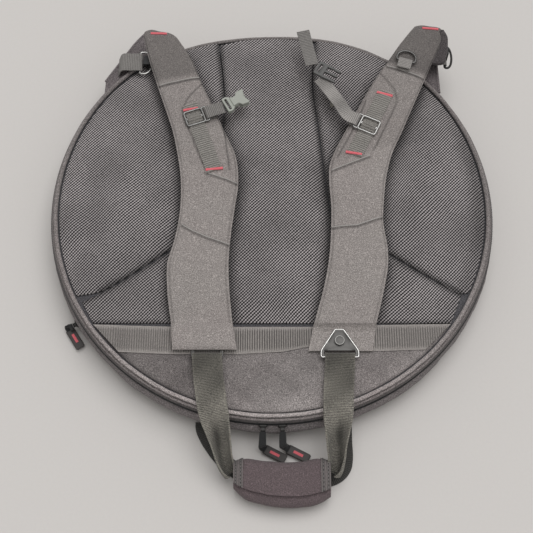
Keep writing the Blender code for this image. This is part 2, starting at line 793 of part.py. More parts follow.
# Back half of the case, which opens as a lid
body("lid", (0.0, lid_axis_place, zip_line), "case")
tape = skin((band_radius_low, band_radius_low), (zip_line + clearance, zip_high), fabric)
add("zip_tape_upper", wall(tape, zip_start, zip_stop), nylon_black, "lid")
band = skin((band_radius_low, band_radius_high), (band_low, band_high), fabric)
add("upper_gusset", wall(band), fabric_grey, "lid")
piping = rod_profile(back_piping_place, back_piping_height, piping_radius)
add("back_piping", wall(piping), fabric_grey, "lid", smooth=True)
add("back_board", disc(board_radius, board_low, board_high), lining_grey, "lid")

centre = sized(centre_left_shares) + sized(centre_right_shares) + sized(centre_top_shares)
add("centre_pad", cushion(centre, pad_low, pad_edge, pad_crown), mesh_grey, "lid", smooth=True)
left_seam = [(x - pad_seam_gap, y) for x, y in sized(centre_left_shares[:-1])]
left_lower_seam = sized(left_pad_seam_shares)
left = left_seam + left_lower_seam + list(reversed(arc(pad_radius, *left_pad_arc, pad_arc_steps)))
add("left_pad", cushion(left, pad_low, pad_edge, pad_crown), mesh_grey, "lid", smooth=True)
right_seam = [(x + pad_seam_gap, y) for x, y in sized(centre_right_shares[1:])]
right_lower_seam = sized(right_pad_seam_shares)
right = list(reversed(right_seam)) + right_lower_seam + arc(pad_radius, *right_pad_arc, pad_arc_steps)
add("right_pad", cushion(right, pad_low, pad_edge, pad_crown), mesh_grey, "lid", smooth=True)

lower = [(x, y - pad_seam_gap) for x, y in [left_seam[-1]] + left_lower_seam]
lower += arc(pad_radius, *left_lower_arc, 3)
lower += [(left_seam[-1][0], lower_mesh_edge)]
add("left_lower_mesh", prism(lower, pad_low, mesh_flat_top), mesh_grey, "lid")
lower = [(x, y - pad_seam_gap) for x, y in [right_seam[0]] + right_lower_seam]
lower += list(reversed(arc(pad_radius, *right_lower_arc, 3)))
lower += [(right_seam[0][0], lower_mesh_edge)]
add("right_lower_mesh", prism(lower, pad_low, mesh_flat_top), mesh_grey, "lid")
panel = arc(pad_radius, *lower_panel_arc, 24)
add("lower_panel", prism(panel, pad_low, lower_panel_top), fabric_grey, "lid")
belt = ((-belt_far_half, belt_far), (belt_far_half, belt_far), (belt_near_half, belt_near),
        (-belt_near_half, belt_near))
add("back_belt", prism(belt, belt_low, belt_high), webbing_grey, "lid")

# Anchor wings with their tabs and rings
wing = sized(wing_left_shares) + list(reversed(arc(wing_reach, *wing_left_arc, 7)))
add("left_wing", prism(wing, wing_low, wing_high), fabric_grey, "lid")
wing = sized(wing_right_shares) + list(reversed(arc(wing_reach, *wing_right_arc, 7)))
add("right_wing", prism(wing, wing_low, wing_high), fabric_grey, "lid")
for side, place in (("left", anchor_left_place), ("right", anchor_right_place)):
    drop = place[2] + tab_loop_radius - wing_high - anchor_tab_thickness / 2 - clearance
    webbing_tab(side + "_anchor_tab", "lid", place, -pi / 2, anchor_tab_length, anchor_tab_width,
                anchor_tab_thickness, drop)
    body(side + "_anchor_hinge", place, "lid")
    d_ring(side + "_anchor_hinge", side + "_anchor_ring", place, -pi / 2, anchor_ring_width,
           anchor_ring_depth, wire_radius)

# Sewn near ends of the straps and the triangular plates
far = plate_apex + end_step_run + end_lip
half = end_width_share * seam_radius / 2
steps = [plate_end, plate_apex, plate_apex + end_step_run, far]
ends = (
    ("left", end_left_middle_shares, (end_left_arch, end_left_arch, end_low, end_low), (end_top,) * 4),
    ("right", end_right_middle_shares, (end_low,) * 4, (end_right_flat, end_right_flat, end_top, end_top)))
for side, shares, lows, tops in ends:
    loops = []
    for y, low, top in zip(steps, lows, tops):
        middle = np.interp(y, (plate_end, far), shares) * seam_radius
        loops.append([(middle - half, y, low), (middle + half, y, low), (middle + half, y, top),
                      (middle - half, y, top)])
    add(side + "_strap_end", loft(loops), fabric_grey, "lid")
outer = [(plate_apex_half, plate_apex), (plate_half_width, plate_shoulder),
         (plate_half_width, plate_near + plate_corner), (plate_half_width - plate_corner, plate_near)]
outer += [(-x, y) for x, y in reversed(outer)]
slot_middle = (slot_near + slot_far) / 2
inner = [(slot_half_length / 2, slot_far), (slot_half_length, slot_far), (slot_half_length, slot_middle),
         (slot_half_length, slot_near)]
inner += [(-x, y) for x, y in reversed(inner)]
for side, middle in (("left", plate_left_middle), ("right", plate_right_middle)):
    loops = [level(outer, plate_low), level(outer, plate_high)]
    loops += [level(inner, plate_high), level(inner, plate_low)]
    shape = moved(loft(loops, closed=True), 0.0, (middle, 0.0, 0.0))
    add(side + "_plate", shape, steel_grey, "lid", 0.35, 1.0)
turns = np.arange(16) * pi / 8
head = []
for turn in turns:
    head.append((plate_right_middle + rivet_radius * cos(turn), rivet_place + rivet_radius * sin(turn)))
add("rivet", prism(head, plate_high + clearance, plate_high + rivet_height), steel_grey, "lid", 0.35, 1.0)

# Shoulder straps
ladders = {"left": sized(ladder_left_shares), "right": sized(ladder_right_shares)}
slider_shares = {"left": slider_left_share, "right": slider_right_share}
strap_stations = {"left": strap_left_shares, "right": strap_right_shares}
hook_places = {
    "left": (anchor_left_place, hook_reach_left),
    "right": (anchor_right_place, hook_reach_right)}
bars = {}
for side in ("left", "right"):
    holder = side + "_strap_hinge"
    body(holder, (0.0, far + clearance / 2, end_top), "lid")
    stations = eased(sized(strap_stations[side]), strap_steps)
    stations[0] = (far + clearance, stations[0][1], stations[0][2])
    shape = strap(stations)
    add(side + "_strap", shape, fabric_grey, holder, smooth=True)
    ring_place, reach = hook_places[side]
    low = strap_top(ring_place[1]) - strap_thickness - hook_under_strap - hook_thickness
    hook(side + "_hook", holder, ring_place, reach, low)
    top, bottom = [np.array(end) for end in ladders[side]]
    ladder_top = strap_top(bottom[1]) + ladder_raise
    add(side + "_ladder", flat_band([top, bottom], ladder_width, ladder_top, ladder_top + ladder_thickness),
        webbing_grey, holder)
    down = (bottom - top) / np.linalg.norm(bottom - top)
    spot = top + (bottom - top) * slider_shares[side]
    place = np.array([spot[0], spot[1], strap_top(spot[1])])
    towards = 1 if side == "left" else -1
    turn = np.arctan2(down[1], down[0]) + towards * pi / 2
    body(side + "_slider_slide", place, holder)
    bars[side] = (chest_slider(side + "_slider", side + "_slider_slide", place, turn), turn, down)

# Chest webbing and buckle
bar, turn, down = bars["left"]
body("left_chest_hinge", bar, "left_slider_slide")
line, across = folded(chest_under, chest_loop_radius, plan(turn), (down[0], down[1], 0.0))
line.append(plan(turn) * chest_under + np.array([0.0, 0.0, chest_loop_radius]))
line.append(plan(turn) * chest_left_reach + np.array([0.0, 0.0, chest_loop_radius]))
across = across + [np.array([down[0], down[1], 0.0])] * 2
count = len(line)
shape = ribbon(np.array(line) + bar, across, [chest_width] * count, [chest_thickness] * count)
add("left_chest_webbing", shape, webbing_grey, "left_chest_hinge")
half = female_width / 2
edges_x = [0.0, female_heel, *female_window, female_length]
edges_y = [-half, female_wall - half, half - female_wall, half]
half_height = female_height / 2
edges_z = [-half_height, female_wall - half_height, half_height - female_wall, half_height]
hollow = {(i, 1, 1) for i in (1, 2, 3)} | {(2, 0, 1), (2, 2, 1)}
filled = [(i, j, k) for i in range(4) for j in range(3) for k in range(3) if (i, j, k) not in hollow]
heel = bar + plan(turn) * (chest_left_reach + chest_thickness / 2 + heel_gap)
heel = heel + np.array([0.0, 0.0, chest_loop_radius])
add("female_buckle", moved(cells(edges_x, edges_y, edges_z, filled), female_turn, heel), buckle_grey,
    "left_chest_hinge", 0.5)

bar, turn, down = bars["right"]
body("right_chest_hinge", bar, "right_slider_slide")
line, across = folded(chest_under, chest_loop_radius, plan(turn), (-down[0], -down[1], 0.0))
line.append(plan(turn) * chest_under + np.array([0.0, 0.0, chest_loop_radius]))
across.append(np.array([-down[0], -down[1], 0.0]))
line = [place + bar for place in line]
finish = bar + np.array([-chest_right_side, chest_right_rise, chest_loop_radius])
begin = line[-1]
for share in chest_run_shares:
    line.append(begin + (finish - begin) * share)
    blend = (1 - share) * across[0] + share * np.array([*chest_end_across_shares, 0.0])
    across.append(blend)
count = len(line)
shape = ribbon(line, across, [chest_width] * count, [chest_thickness] * count)
add("right_chest_webbing", shape, webbing_grey, "right_chest_hinge")
half = male_width / 2
edges_y = [-half, prong_outer - half, -prong_inner, prong_inner, half - prong_outer, half]
solid = [(i, j, 0) for i in range(3) for j in range(5) if not (i == 1 and j in (1, 2, 3))]
solid += [(3, 0, 0), (3, 2, 0), (3, 4, 0)]
shape = cells(list(male_edges), edges_y, [0.0, male_height], solid)
male_place = finish + np.array([*male_from_webbing, male_above_bar - chest_loop_radius])
add("male_buckle", moved(shape, male_turn, male_place), nylon_black, "right_chest_hinge", 0.45)
tail_start = finish + np.array([*tail_from_webbing, tail_above_bar - chest_loop_radius])
body("tail_hinge", tail_start, "right_chest_hinge")
line = []
for share in tail_run_shares:
    line.append(tail_start + plan(tail_turn) * tail_length * share
                + np.array([0.0, 0.0, tail_rise * share ** tail_curl]))
shape = ribbon(line, plan(tail_turn - pi / 2), [chest_width] * 4, [chest_thickness] * 4)
add("chest_tail", shape, webbing_grey, "tail_hinge")

# D-ring on the right strap
ring_height = strap_top(strap_ring_place[1] + strap_tab_offset) + tab_loop_radius
ring_height += chest_thickness / 2 + clearance
place = (*strap_ring_place, ring_height)
webbing_tab("strap_ring_tab", "right_strap_hinge", place, strap_ring_turn, strap_tab_length,
            strap_tab_width, chest_thickness, 0.0)
body("strap_ring_hinge", place, "right_strap_hinge")
d_ring("strap_ring_hinge", "strap_ring", place, strap_ring_turn, strap_ring_width, strap_ring_depth,
       wire_radius)

# Back carry handle with its wrap-round grip
body("handle_hinge", handle_axis, "lid")
for side, start, drifts, mirror, end in (
        ("left", plate_left_middle, leg_left_drift, 1, grip_left_end - leg_end_clear),
        ("right", plate_right_middle, leg_right_drift, -1, grip_right_end + leg_end_clear)):
    line, across = folded(leg_under, leg_loop_radius, np.array([0.0, -1.0, 0.0]), (1.0, 0.0, 0.0))
    line = [place + np.array([start, handle_axis[1], handle_axis[2]]) for place in line]
    widths = [leg_width] * len(line)
    thicknesses = [leg_thickness] * len(line)
    for step, beyond in enumerate(leg_beyond_seam):
        share = leg_width_shares[step]
        height = handle_axis[2] - leg_drops[step]
        line.append(np.array([start + drifts[step], -(seam_radius + beyond), height]))
        across.append(plan(mirror * leg_turns[step]))
        widths.append(leg_width * share)
        folded_share = np.interp(share, (leg_width_shares[-1], 1.0), (1.0, 0.0))
        thicknesses.append(leg_thickness + (leg_folded_thickness - leg_thickness) * folded_share)
    line.append(np.array([end, -(seam_radius + leg_beyond_seam[-1] + leg_end_clear), grip_height]))
    across.append(plan(mirror * pi / 2))
    widths.append(widths[-1])
    thicknesses.append(leg_folded_thickness)
    add(side + "_handle_leg", ribbon(line, across, widths, thicknesses), webbing_grey, "handle_hinge")
ends = (grip_left_end, grip_left_end + grip_end_taper, grip_right_end - grip_end_taper, grip_right_end)
turns = np.arange(grip_steps) * 2 * pi / grip_steps
loops = []
for x, share in zip(ends, grip_end_shares):
    loops.append([(x, grip_middle + grip_half_width * share * cos(turn),
                   grip_height + grip_half_height * share * sin(turn)) for turn in turns])
add("grip", loft(loops), dark_grey, "handle_hinge", smooth=True)
inner_width = grip_half_width + clearance
inner_height = grip_half_height + clearance
outer_width = inner_width + grip_wrap
outer_height = inner_height + grip_wrap
turns = np.linspace(grip_wrap_start, grip_wrap_end, grip_steps // 2)
profile = []
for turn in turns:
    profile.append((grip_middle + outer_width * cos(turn), grip_height + outer_height * sin(turn)))
for turn in reversed(turns):
    profile.append((grip_middle + inner_width * cos(turn), grip_height + inner_height * sin(turn)))
flap_axis = (0.0, grip_middle + inner_width + grip_wrap / 2, grip_height)
body("flap_hinge", flap_axis, "handle_hinge")
shape = extrude_across(profile, grip_left_end, grip_right_end)
add("grip_flap", shape, fabric_grey, "flap_hinge", smooth=True)

# Front carry handle
body("front_handle_hinge", (0.0, front_start, (front_webbing_low + front_webbing_high) / 2), "case")
path = [(front_left, front_start)]
for inward, beyond in front_left_sweep:
    path.append((front_left + inward, -(seam_radius + beyond)))
for turn in np.linspace(1.5 * pi, 2 * pi, 5):
    path.append((front_right - front_corner * (1 - cos(turn)),
                 front_bend + (front_bend - front_reach) * sin(turn)))
path.append((front_right, front_start))
shape = flat_band(path, front_webbing_width, front_webbing_low, front_webbing_high)
add("front_handle", shape, webbing_grey, "front_handle_hinge")

# Zip sliders with their pulls
pulls = (
    ("main_left", main_left_angle, main_slider_radii, main_slider_heights, pull_knee,
     main_left_tag_from_slider, tag_turn),
    ("main_right", main_right_angle, main_slider_radii, main_slider_heights, pull_knee,
     main_right_tag_from_slider, tag_turn),
    ("pocket", pocket_angle, pocket_slider_radii, pocket_slider_heights, pocket_knee,
     pocket_tag_from_slider, pocket_tag_turn))
for name, angle, radii, heights, knee, tag_from_slider, turn in pulls:
    body(name + "_travel", (0.0, 0.0, sum(heights) / 2), "case")
    zip_slider(name + "_slider", name + "_travel", angle, radii, heights)
    pivot = plan(angle) * (radii[1] + pull_gap + pull_neck / 2) + np.array([0.0, 0.0, sum(heights) / 2])
    body(name + "_pull_hinge", pivot, name + "_travel")
    zip_pull(name + "_pull", name + "_pull_hinge", angle, radii, heights, knee, tag_from_slider, turn)
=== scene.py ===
"""Looks of the round cymbal bag: cloth, air mesh, webbing, zips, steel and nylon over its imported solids.

Every length is in metres, in the frame of the solids. +Z is up and the bag lies on its front face,
with the carry handle at -Y and the straps' folded ends at +Y.
"""
from math import cos, pi, radians, sin

import bmesh
import bpy
import numpy as np
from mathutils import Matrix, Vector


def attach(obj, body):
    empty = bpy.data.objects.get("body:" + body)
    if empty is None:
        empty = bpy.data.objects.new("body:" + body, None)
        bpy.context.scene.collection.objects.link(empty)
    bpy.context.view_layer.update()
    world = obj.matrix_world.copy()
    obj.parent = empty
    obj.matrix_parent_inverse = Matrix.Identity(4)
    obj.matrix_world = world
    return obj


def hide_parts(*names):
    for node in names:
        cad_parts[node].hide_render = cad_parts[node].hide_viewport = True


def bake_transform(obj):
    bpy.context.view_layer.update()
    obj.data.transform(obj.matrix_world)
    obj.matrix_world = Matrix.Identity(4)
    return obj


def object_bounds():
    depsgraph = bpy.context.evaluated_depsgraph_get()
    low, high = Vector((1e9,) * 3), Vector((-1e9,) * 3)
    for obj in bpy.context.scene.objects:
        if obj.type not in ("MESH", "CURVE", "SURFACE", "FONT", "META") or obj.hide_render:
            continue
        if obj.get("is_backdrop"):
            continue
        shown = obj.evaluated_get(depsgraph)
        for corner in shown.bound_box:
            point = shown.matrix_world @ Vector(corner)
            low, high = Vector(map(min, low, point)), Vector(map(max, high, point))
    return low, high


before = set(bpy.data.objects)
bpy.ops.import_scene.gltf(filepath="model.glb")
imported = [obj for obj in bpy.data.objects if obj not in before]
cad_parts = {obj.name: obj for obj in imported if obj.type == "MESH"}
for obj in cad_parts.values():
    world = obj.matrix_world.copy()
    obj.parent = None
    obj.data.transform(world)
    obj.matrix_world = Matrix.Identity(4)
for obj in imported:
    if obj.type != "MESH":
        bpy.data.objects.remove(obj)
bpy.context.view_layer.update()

# Sizes shared with the solids
seam_radius = 0.284
far_dip_share = 0.05
far_dip_angle = radians(92)
far_dip_spread = radians(26)
pad_radius = 0.2825
zip_line = 0.0450
strap_thickness = 0.0090
end_top = 0.0700
strap_rise_places = (-0.1704, -0.0900, 0.0, 0.1704, 0.2400)
strap_rises = (0.0, 0.0055, 0.0100, 0.0100, 0.0150)
grip_height = 0.0195

# The far side of the bag sinks behind the pads' edge
sink_share = 0.23
sink_angles = (radians(46), radians(57), radians(118), radians(128))
sink_radii = (0.2770, 0.2845)

# Air that blows up the pads
air_pressure = 4.0
air_frames = 20

# Fineness of the grids
rim_steps = 360
corner_steps = 6
cup_steps = 13
tiny = 1e-9

# Colours, linear
floor_colour = (0.592, 0.570, 0.553)
mesh_yarn = (0.430, 0.396, 0.398)
mesh_hole = (0.012, 0.011, 0.012)
panel_cloth_colour = (0.318, 0.289, 0.282)
strap_cloth_colour = (0.308, 0.281, 0.268)
rim_cloth_colour = (0.300, 0.268, 0.264)
gusset_cloth_colour = (0.152, 0.134, 0.137)
band_cloth_colour = (0.205, 0.184, 0.184)
webbing_colour = (0.225, 0.211, 0.184)
belt_colour = (0.390, 0.358, 0.340)
ladder_colour = (0.370, 0.350, 0.325)
chest_colour = (0.190, 0.180, 0.172)
# A lighter copy of the chest webbing's colour, partly painted light where the right chest band takes it.
pale_chest_colour = (0.310, 0.293, 0.280)
welt_colour = (0.405, 0.366, 0.357)
binding_colour = (0.135, 0.120, 0.118)
dark_webbing_colour = (0.050, 0.048, 0.045)
grip_colour = (0.128, 0.099, 0.104)
lining_colour = (0.085, 0.083, 0.090)
red_thread_colour = (0.800, 0.160, 0.190)
pale_thread_colour = (0.430, 0.410, 0.395)
grey_thread_colour = (0.170, 0.160, 0.158)
zip_colour = (0.022, 0.022, 0.023)
nylon_colour = (0.020, 0.020, 0.021)
tag_colour = (0.060, 0.055, 0.053)
grey_nylon_colour = (0.095, 0.094, 0.092)
buckle_colour = (0.330, 0.345, 0.310)
steel_colour = (0.420, 0.415, 0.405)
polished_colour = (0.640, 0.632, 0.618)
dark_steel_colour = (0.130, 0.127, 0.124)
plate_colour = (0.145, 0.141, 0.137)


def unit(vectors):
    """Vectors brought to length one."""
    return vectors / np.maximum(np.linalg.norm(vectors, axis=-1, keepdims=True), tiny)


def smoothly(low, high, values):
    """Rises from 0 to 1 between two values, with level ends: 3t^2 - 2t^3."""
    t = np.clip((values - low) / (high - low), 0.0, 1.0)
    return t * t * (3 - 2 * t)


def rim_factor(angles):
    """How far out the plan outline stands: one, less a soft bell round the far side's angle."""
    away = (angles - far_dip_angle + pi) % (2 * pi) - pi
    return 1 - far_dip_share * np.exp(-(away / far_dip_spread) ** 2)


def rim(radius, angles):
    """Places on the bag's plan outline."""
    reach = radius * rim_factor(angles)
    return np.stack([reach * np.cos(angles), reach * np.sin(angles)], -1)


def sunk(points):
    """Lowers the far edge: a place keeps its height less a share that grows outwards past the pads."""
    angles = np.arctan2(points[..., 1], points[..., 0])
    radii = np.hypot(points[..., 0], points[..., 1]) / rim_factor(angles)
    first, second, third, fourth = sink_angles
    spread = smoothly(first, second, angles) * (1 - smoothly(third, fourth, angles))
    share = sink_share * spread * smoothly(*sink_radii, radii)
    points = points.copy()
    points[..., 2] *= 1 - share
    return points


def ripple(values, longest, height, seed, count=5):
    """Slow unevenness: a sum of sine waves at seeded phases, each shorter and lower than the last."""
    starts = np.random.default_rng(seed).uniform(0, 2 * pi, count)
    total = np.zeros_like(values)
    for step in range(count):
        total += np.sin(2 * pi * values * (1 + step * 0.73) / longest + starts[step]) / (1 + step)
    return height * total


def shares(count, gathered=0.0):
    """Even steps from 0 to 1, drawn towards both ends by the gathered share of a cosine."""
    even = np.linspace(0.0, 1.0, count)
    return even * (1 - gathered) + gathered * (1 - np.cos(pi * even)) / 2


def through(places, count, gathered=0.0):
    """A smooth line through places: cubic spans whose end slopes are those of the neighbouring places."""
    places = np.asarray(places, float)
    runs = np.linalg.norm(np.diff(places, axis=0), axis=1)
    far = np.concatenate([[0.0], np.cumsum(runs)])
    slopes = np.gradient(places, far, axis=0)
    at = far[-1] * shares(count, gathered)
    span = np.clip(np.searchsorted(far, at, side="right") - 1, 0, len(far) - 2)
    width = (far[span + 1] - far[span])[:, None]
    t = (at - far[span])[:, None] / width
    start = (2 * t ** 3 - 3 * t ** 2 + 1) * places[span] + (t ** 3 - 2 * t ** 2 + t) * width * slopes[span]
    finish = (3 * t ** 2 - 2 * t ** 3) * places[span + 1] + (t ** 3 - t ** 2) * width * slopes[span + 1]
    return start + finish


def read_rows(at, far, rows):
    """Rows of numbers that stand at some lengths, read at others by straight blends."""
    return np.stack([np.interp(at, far, rows[:, axis]) for axis in range(rows.shape[1])], -1)


def even_line(places, count, closed=False):
    """The given broken line, stepped evenly along its length."""
    places = np.asarray(places, float)
    if closed:
        places = np.concatenate([places, places[:1]])
    runs = np.linalg.norm(np.diff(places, axis=0), axis=1)
    far = np.concatenate([[0.0], np.cumsum(runs)])
    at = np.linspace(0.0, far[-1], count, endpoint=not closed)
    return read_rows(at, far, places)


def rounded(corners, radius):
    """A closed outline with each corner turned into an arc by a parabola between two cut-back places."""
    corners = np.asarray(corners, float)
    t = np.linspace(0.0, 1.0, corner_steps)[:, None]
    line = []
    for place, before, after in zip(corners, np.roll(corners, 1, axis=0), np.roll(corners, -1, axis=0)):
        start = place + unit(before - place) * radius
        finish = place + unit(after - place) * radius
        line.append((1 - t) ** 2 * start + 2 * t * (1 - t) * place + t ** 2 * finish)
    return np.concatenate(line)


def eased(corners, radius, count):
    """A closed outline with round corners, stepped evenly along its length."""
    return even_line(rounded(corners, radius), count, closed=True)


def box(left, right, near, far):
    """Corners of a rectangle in plan."""
    return [(left, near), (right, near), (right, far), (left, far)]


def mirrored(line):
    """A plan line mirrored at the X axis and run the other way."""
    return [(x, -y) for x, y in line[::-1]]


def started(outline, x):
    """The closed outline, begun at its place nearest to x on the X axis."""
    first = np.argmin(np.hypot(outline[:, 0] - x, outline[:, 1]))
    return np.roll(outline, -first, axis=0)


def patch(near, far, left, right, along, across):
    """A sheet between four lines: both straight blends, less the blend of the corners."""
    t = along[:, None, None]
    s = across[None, :, None]
    sheet = (1 - t) * near[None] + t * far[None] + (1 - s) * left[:, None] + s * right[:, None]
    sheet = sheet - (1 - t) * (1 - s) * near[0] - (1 - t) * s * near[-1]
    return sheet - t * (1 - s) * far[0] - t * s * far[-1]


def apart(plan, line):
    """Least plan distance from each place to a broken line."""
    line = np.asarray(line, float)
    flat = plan[..., None, :2]
    step = line[1:] - line[:-1]
    share = ((flat - line[:-1]) * step).sum(-1) / (step ** 2).sum(-1)
    near = line[:-1] + np.clip(share, 0.0, 1.0)[..., None] * step
    return np.linalg.norm(flat - near, axis=-1).min(-1)


def heading(angle):
    """A step of length one in plan, at an angle."""
    return np.array([cos(angle), sin(angle), 0.0])


def bell(distance, reach):
    """1 at no distance, falling off smoothly: exp(-(distance / reach)^2)."""
    return np.exp(-(distance / reach) ** 2)


def lengths(line, closed):
    """Distance run along a line of places, with the closing step at the end of a closed one."""
    if closed:
        line = np.concatenate([line, line[:1]])
    return np.concatenate([[0.0], np.cumsum(np.linalg.norm(np.diff(line, axis=0), axis=1))])


def surface(points, round_rows=False, round_columns=False, capped=False, look=0, along=None):
    """A grid of places as cells.

    A round direction joins its end to its start, and caps are fans to a middle.
    """
    rows, columns = points.shape[:2]
    row = np.arange(rows if round_rows else rows - 1)
    column = np.arange(columns if round_columns else columns - 1)
    row, column = [axis.ravel() for axis in np.meshgrid(row, column, indexing="ij")]
    corner_row = np.stack([row, row + 1, row + 1, row], -1)
    corner_column = np.stack([column, column, column + 1, column + 1], -1)
    if along is None:
        along = lengths(points[:, columns // 2], round_rows)
    across = lengths(points[rows // 2], round_columns)
    faces = (corner_row % rows) * columns + corner_column % columns
    cloth = np.stack([along[corner_row], across[corner_column]], -1)
    places = points.reshape(-1, 3)
    groups = [(faces, cloth, look)]
    if capped:
        middles = np.stack([points[0].mean(axis=0), points[-1].mean(axis=0)])
        places = np.concatenate([places, middles])
        step = np.arange(columns)
        for end, base in enumerate((0, (rows - 1) * columns)):
            middle = np.full(columns, rows * columns + end)
            fan = np.stack([base + step, base + (step + 1) % columns, middle], -1)
            groups.append((fan, places[fan][..., :2], look))
    return places, groups


def cushion_skin(top, bottom):
    """Two grids of one size, one over the other, joined round their edge."""
    rows, columns = top.shape[:2]
    upper, upper_groups = surface(top)
    lower, lower_groups = surface(bottom)
    count = rows * columns
    edge = np.concatenate([
        np.arange(columns), np.arange(1, rows) * columns + columns - 1,
        (rows - 1) * columns + np.arange(columns - 2, -1, -1), np.arange(rows - 2, 0, -1) * columns])
    after = np.roll(edge, -1)
    sides = np.stack([edge, after, after + count, edge + count], -1)
    far = lengths(upper[edge], True)
    step = np.arange(len(edge))
    depth = np.linalg.norm(upper[edge[0]] - lower[edge[0]])
    cloth = np.stack([far[np.stack([step, step + 1, step + 1, step], -1)],
                      np.broadcast_to([0.0, 0.0, depth, depth], (len(edge), 4))], -1)
    groups = upper_groups + [(faces + count, places, look) for faces, places, look in lower_groups]
    return np.concatenate([upper, lower]), groups + [(sides, cloth, 0)]


def joined(*skins):
    """Several skins as one."""
    places = np.concatenate([skin[0] for skin in skins])
    groups = []
    start = 0
    for points, faces in skins:
        groups += [(part + start, cloth, look) for part, cloth, look in faces]
        start += len(points)
    return places, groups


def second_look(skin):
    """A skin whose faces all take the second look of its piece."""
    places, groups = skin
    return places, [(faces, cloth, 1) for faces, cloth, look in groups]


def piece(name, skin, holder, looks, stands_for=(), crease=40, weld=0.0, dark=None):
    """Makes one object of a skin, with its cloth lengths as UV, and hangs it on a body.

    The dark values, one for each place, are kept as an attribute that the looks read; on most pieces they
    are painted shade.
    """
    places, groups = skin
    faces = []
    for part, cloth, look in groups:
        faces += part.tolist()
    mesh = bpy.data.meshes.new(name)
    mesh.from_pydata(places.tolist(), [], faces)
    cloth = np.concatenate([part[1].reshape(-1, 2) for part in groups])
    layer = mesh.uv_layers.new(name="cloth")
    layer.data.foreach_set("uv", cloth.astype(np.float32).ravel())
    numbers = np.concatenate([np.full(len(part[0]), part[2]) for part in groups])
    mesh.polygons.foreach_set("material_index", numbers.astype(np.int32))
    if dark is not None:
        shade = mesh.attributes.new("dark", "FLOAT", "POINT")
        shade.data.foreach_set("value", np.clip(dark, 0.0, 1.0).astype(np.float32).ravel())
    if not isinstance(looks, (list, tuple)):
        looks = [looks]
    for look in looks:
        mesh.materials.append(look)
    shell = bmesh.new()
    shell.from_mesh(mesh)
    if weld:
        bmesh.ops.remove_doubles(shell, verts=shell.verts, dist=weld)
    bmesh.ops.recalc_face_normals(shell, faces=shell.faces)
    shell.to_mesh(mesh)
    shell.free()
    mesh.shade_smooth()
    mesh.set_sharp_from_angle(angle=radians(crease))
    made = bpy.data.objects.new(name, mesh)
    bpy.context.collection.objects.link(made)
    if holder:
        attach(made, holder)
    if stands_for:
        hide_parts(*stands_for)
    return made


def carried(path, side, section):
    """A closed section carried along a path: place + side * first + up * second, up square to both."""
    ahead = unit(np.gradient(path, axis=0))
    side = np.broadcast_to(np.asarray(side, float), path.shape)
    side = unit(side - ahead * (side * ahead).sum(-1, keepdims=True))
    up = np.cross(side, ahead)
    section = np.asarray(section)
    return path[:, None] + side[:, None] * section[..., 0:1] + up[:, None] * section[..., 1:2]


def strand(line, side, section, **more):
    """A closed section carried along a line, with both ends capped."""
    return surface(carried(line, side, section), round_columns=True, capped=True, **more)


def strip_section(width, thickness, steps=9):
    """Section of a flat strip with round edges."""
    width, thickness = [np.atleast_1d(np.asarray(value, float))[:, None] for value in (width, thickness)]
    spread = np.linspace(-1, 1, steps)[None]
    turn = np.linspace(pi / 2, -pi / 2, 7)[None, 1:-1]
    flat = width / 2 - thickness / 2
    top = np.stack(np.broadcast_arrays(spread * flat, thickness / 2), -1)
    half = thickness / 2
    edge = np.stack(np.broadcast_arrays(flat + half * np.cos(turn), half * np.sin(turn)), -1)
    low = np.stack(np.broadcast_arrays(spread[:, ::-1] * flat, -thickness / 2), -1)
    section = np.concatenate([top, edge, low, edge[:, ::-1] * (-1, 1)], axis=1)
    return section if len(section) > 1 else section[0]


def cupped_section(width, thickness, share):
    """Section of webbing drawn to a share of its width: it bends as an arc that keeps its own length."""
    share = np.clip(np.atleast_1d(share), 0.05, 0.9999)
    guesses = np.linspace(0.001, 2.9, 600)
    bend = np.interp(-share, -np.sin(guesses) / guesses, guesses)[:, None]
    spread = np.linspace(-1, 1, cup_steps)[None]
    outer = []
    for offset in (thickness / 2, -thickness / 2):
        radius = width / 2 / bend
        turn = spread * bend
        first = (radius + offset) * np.sin(turn)
        second = (radius + offset) * np.cos(turn) - radius * (1 + np.cos(bend)) / 2
        outer.append(np.stack([first, second], -1))
    return np.concatenate([outer[0], outer[1][:, ::-1]], axis=1)


def circle(steps):
    """Angles once round a circle."""
    return np.arange(steps) * 2 * pi / steps


def round_section(radius, steps):
    """A round section."""
    return radius * np.stack([np.cos(circle(steps)), np.sin(circle(steps))], -1)


def loop_wire(path, radius, steps=10):
    """A wire carried round a closed path; its side is square to the path and to +Z."""
    ahead = unit(np.roll(path, -1, axis=0) - np.roll(path, 1, axis=0))
    side = unit(np.cross(ahead, (0.0, 0.0, 1.0)))
    up = np.cross(side, ahead)
    turn = circle(steps)
    places = path[:, None] + radius * (side[:, None] * np.cos(turn)[None, :, None]
                                       + up[:, None] * np.sin(turn)[None, :, None])
    return surface(places, round_rows=True, round_columns=True)


def between(outer, inner, steps, heights):
    """A flat ring: each row goes from the outer outline to the inner one by the steps, at the heights."""
    steps = np.asarray(steps)[None, :, None]
    plan = outer[:, None] + (inner - outer)[:, None] * steps
    height = np.broadcast_to(np.asarray(heights)[None, :, None], (*plan.shape[:2], 1))
    return surface(np.concatenate([plan, height], -1), round_rows=True, round_columns=True)


def lathed(place, radii, heights):
    """A profile turned round a line along +Z through a place; both its ends lie on that line."""
    turn = circle(32)
    radii = np.asarray(radii)[None]
    grid = np.stack(np.broadcast_arrays(
        place[0] + radii * np.cos(turn)[:, None], place[1] + radii * np.sin(turn)[:, None],
        place[2] + np.asarray(heights)[None]), -1)
    return surface(grid, round_rows=True)


def turned(points, turn, place):
    """Turns places about +Z and moves them."""
    points = np.asarray(points, float)
    spun = points.copy()
    spun[..., 0] = cos(turn) * points[..., 0] - sin(turn) * points[..., 1]
    spun[..., 1] = sin(turn) * points[..., 0] + cos(turn) * points[..., 1]
    return spun + np.asarray(place, float)


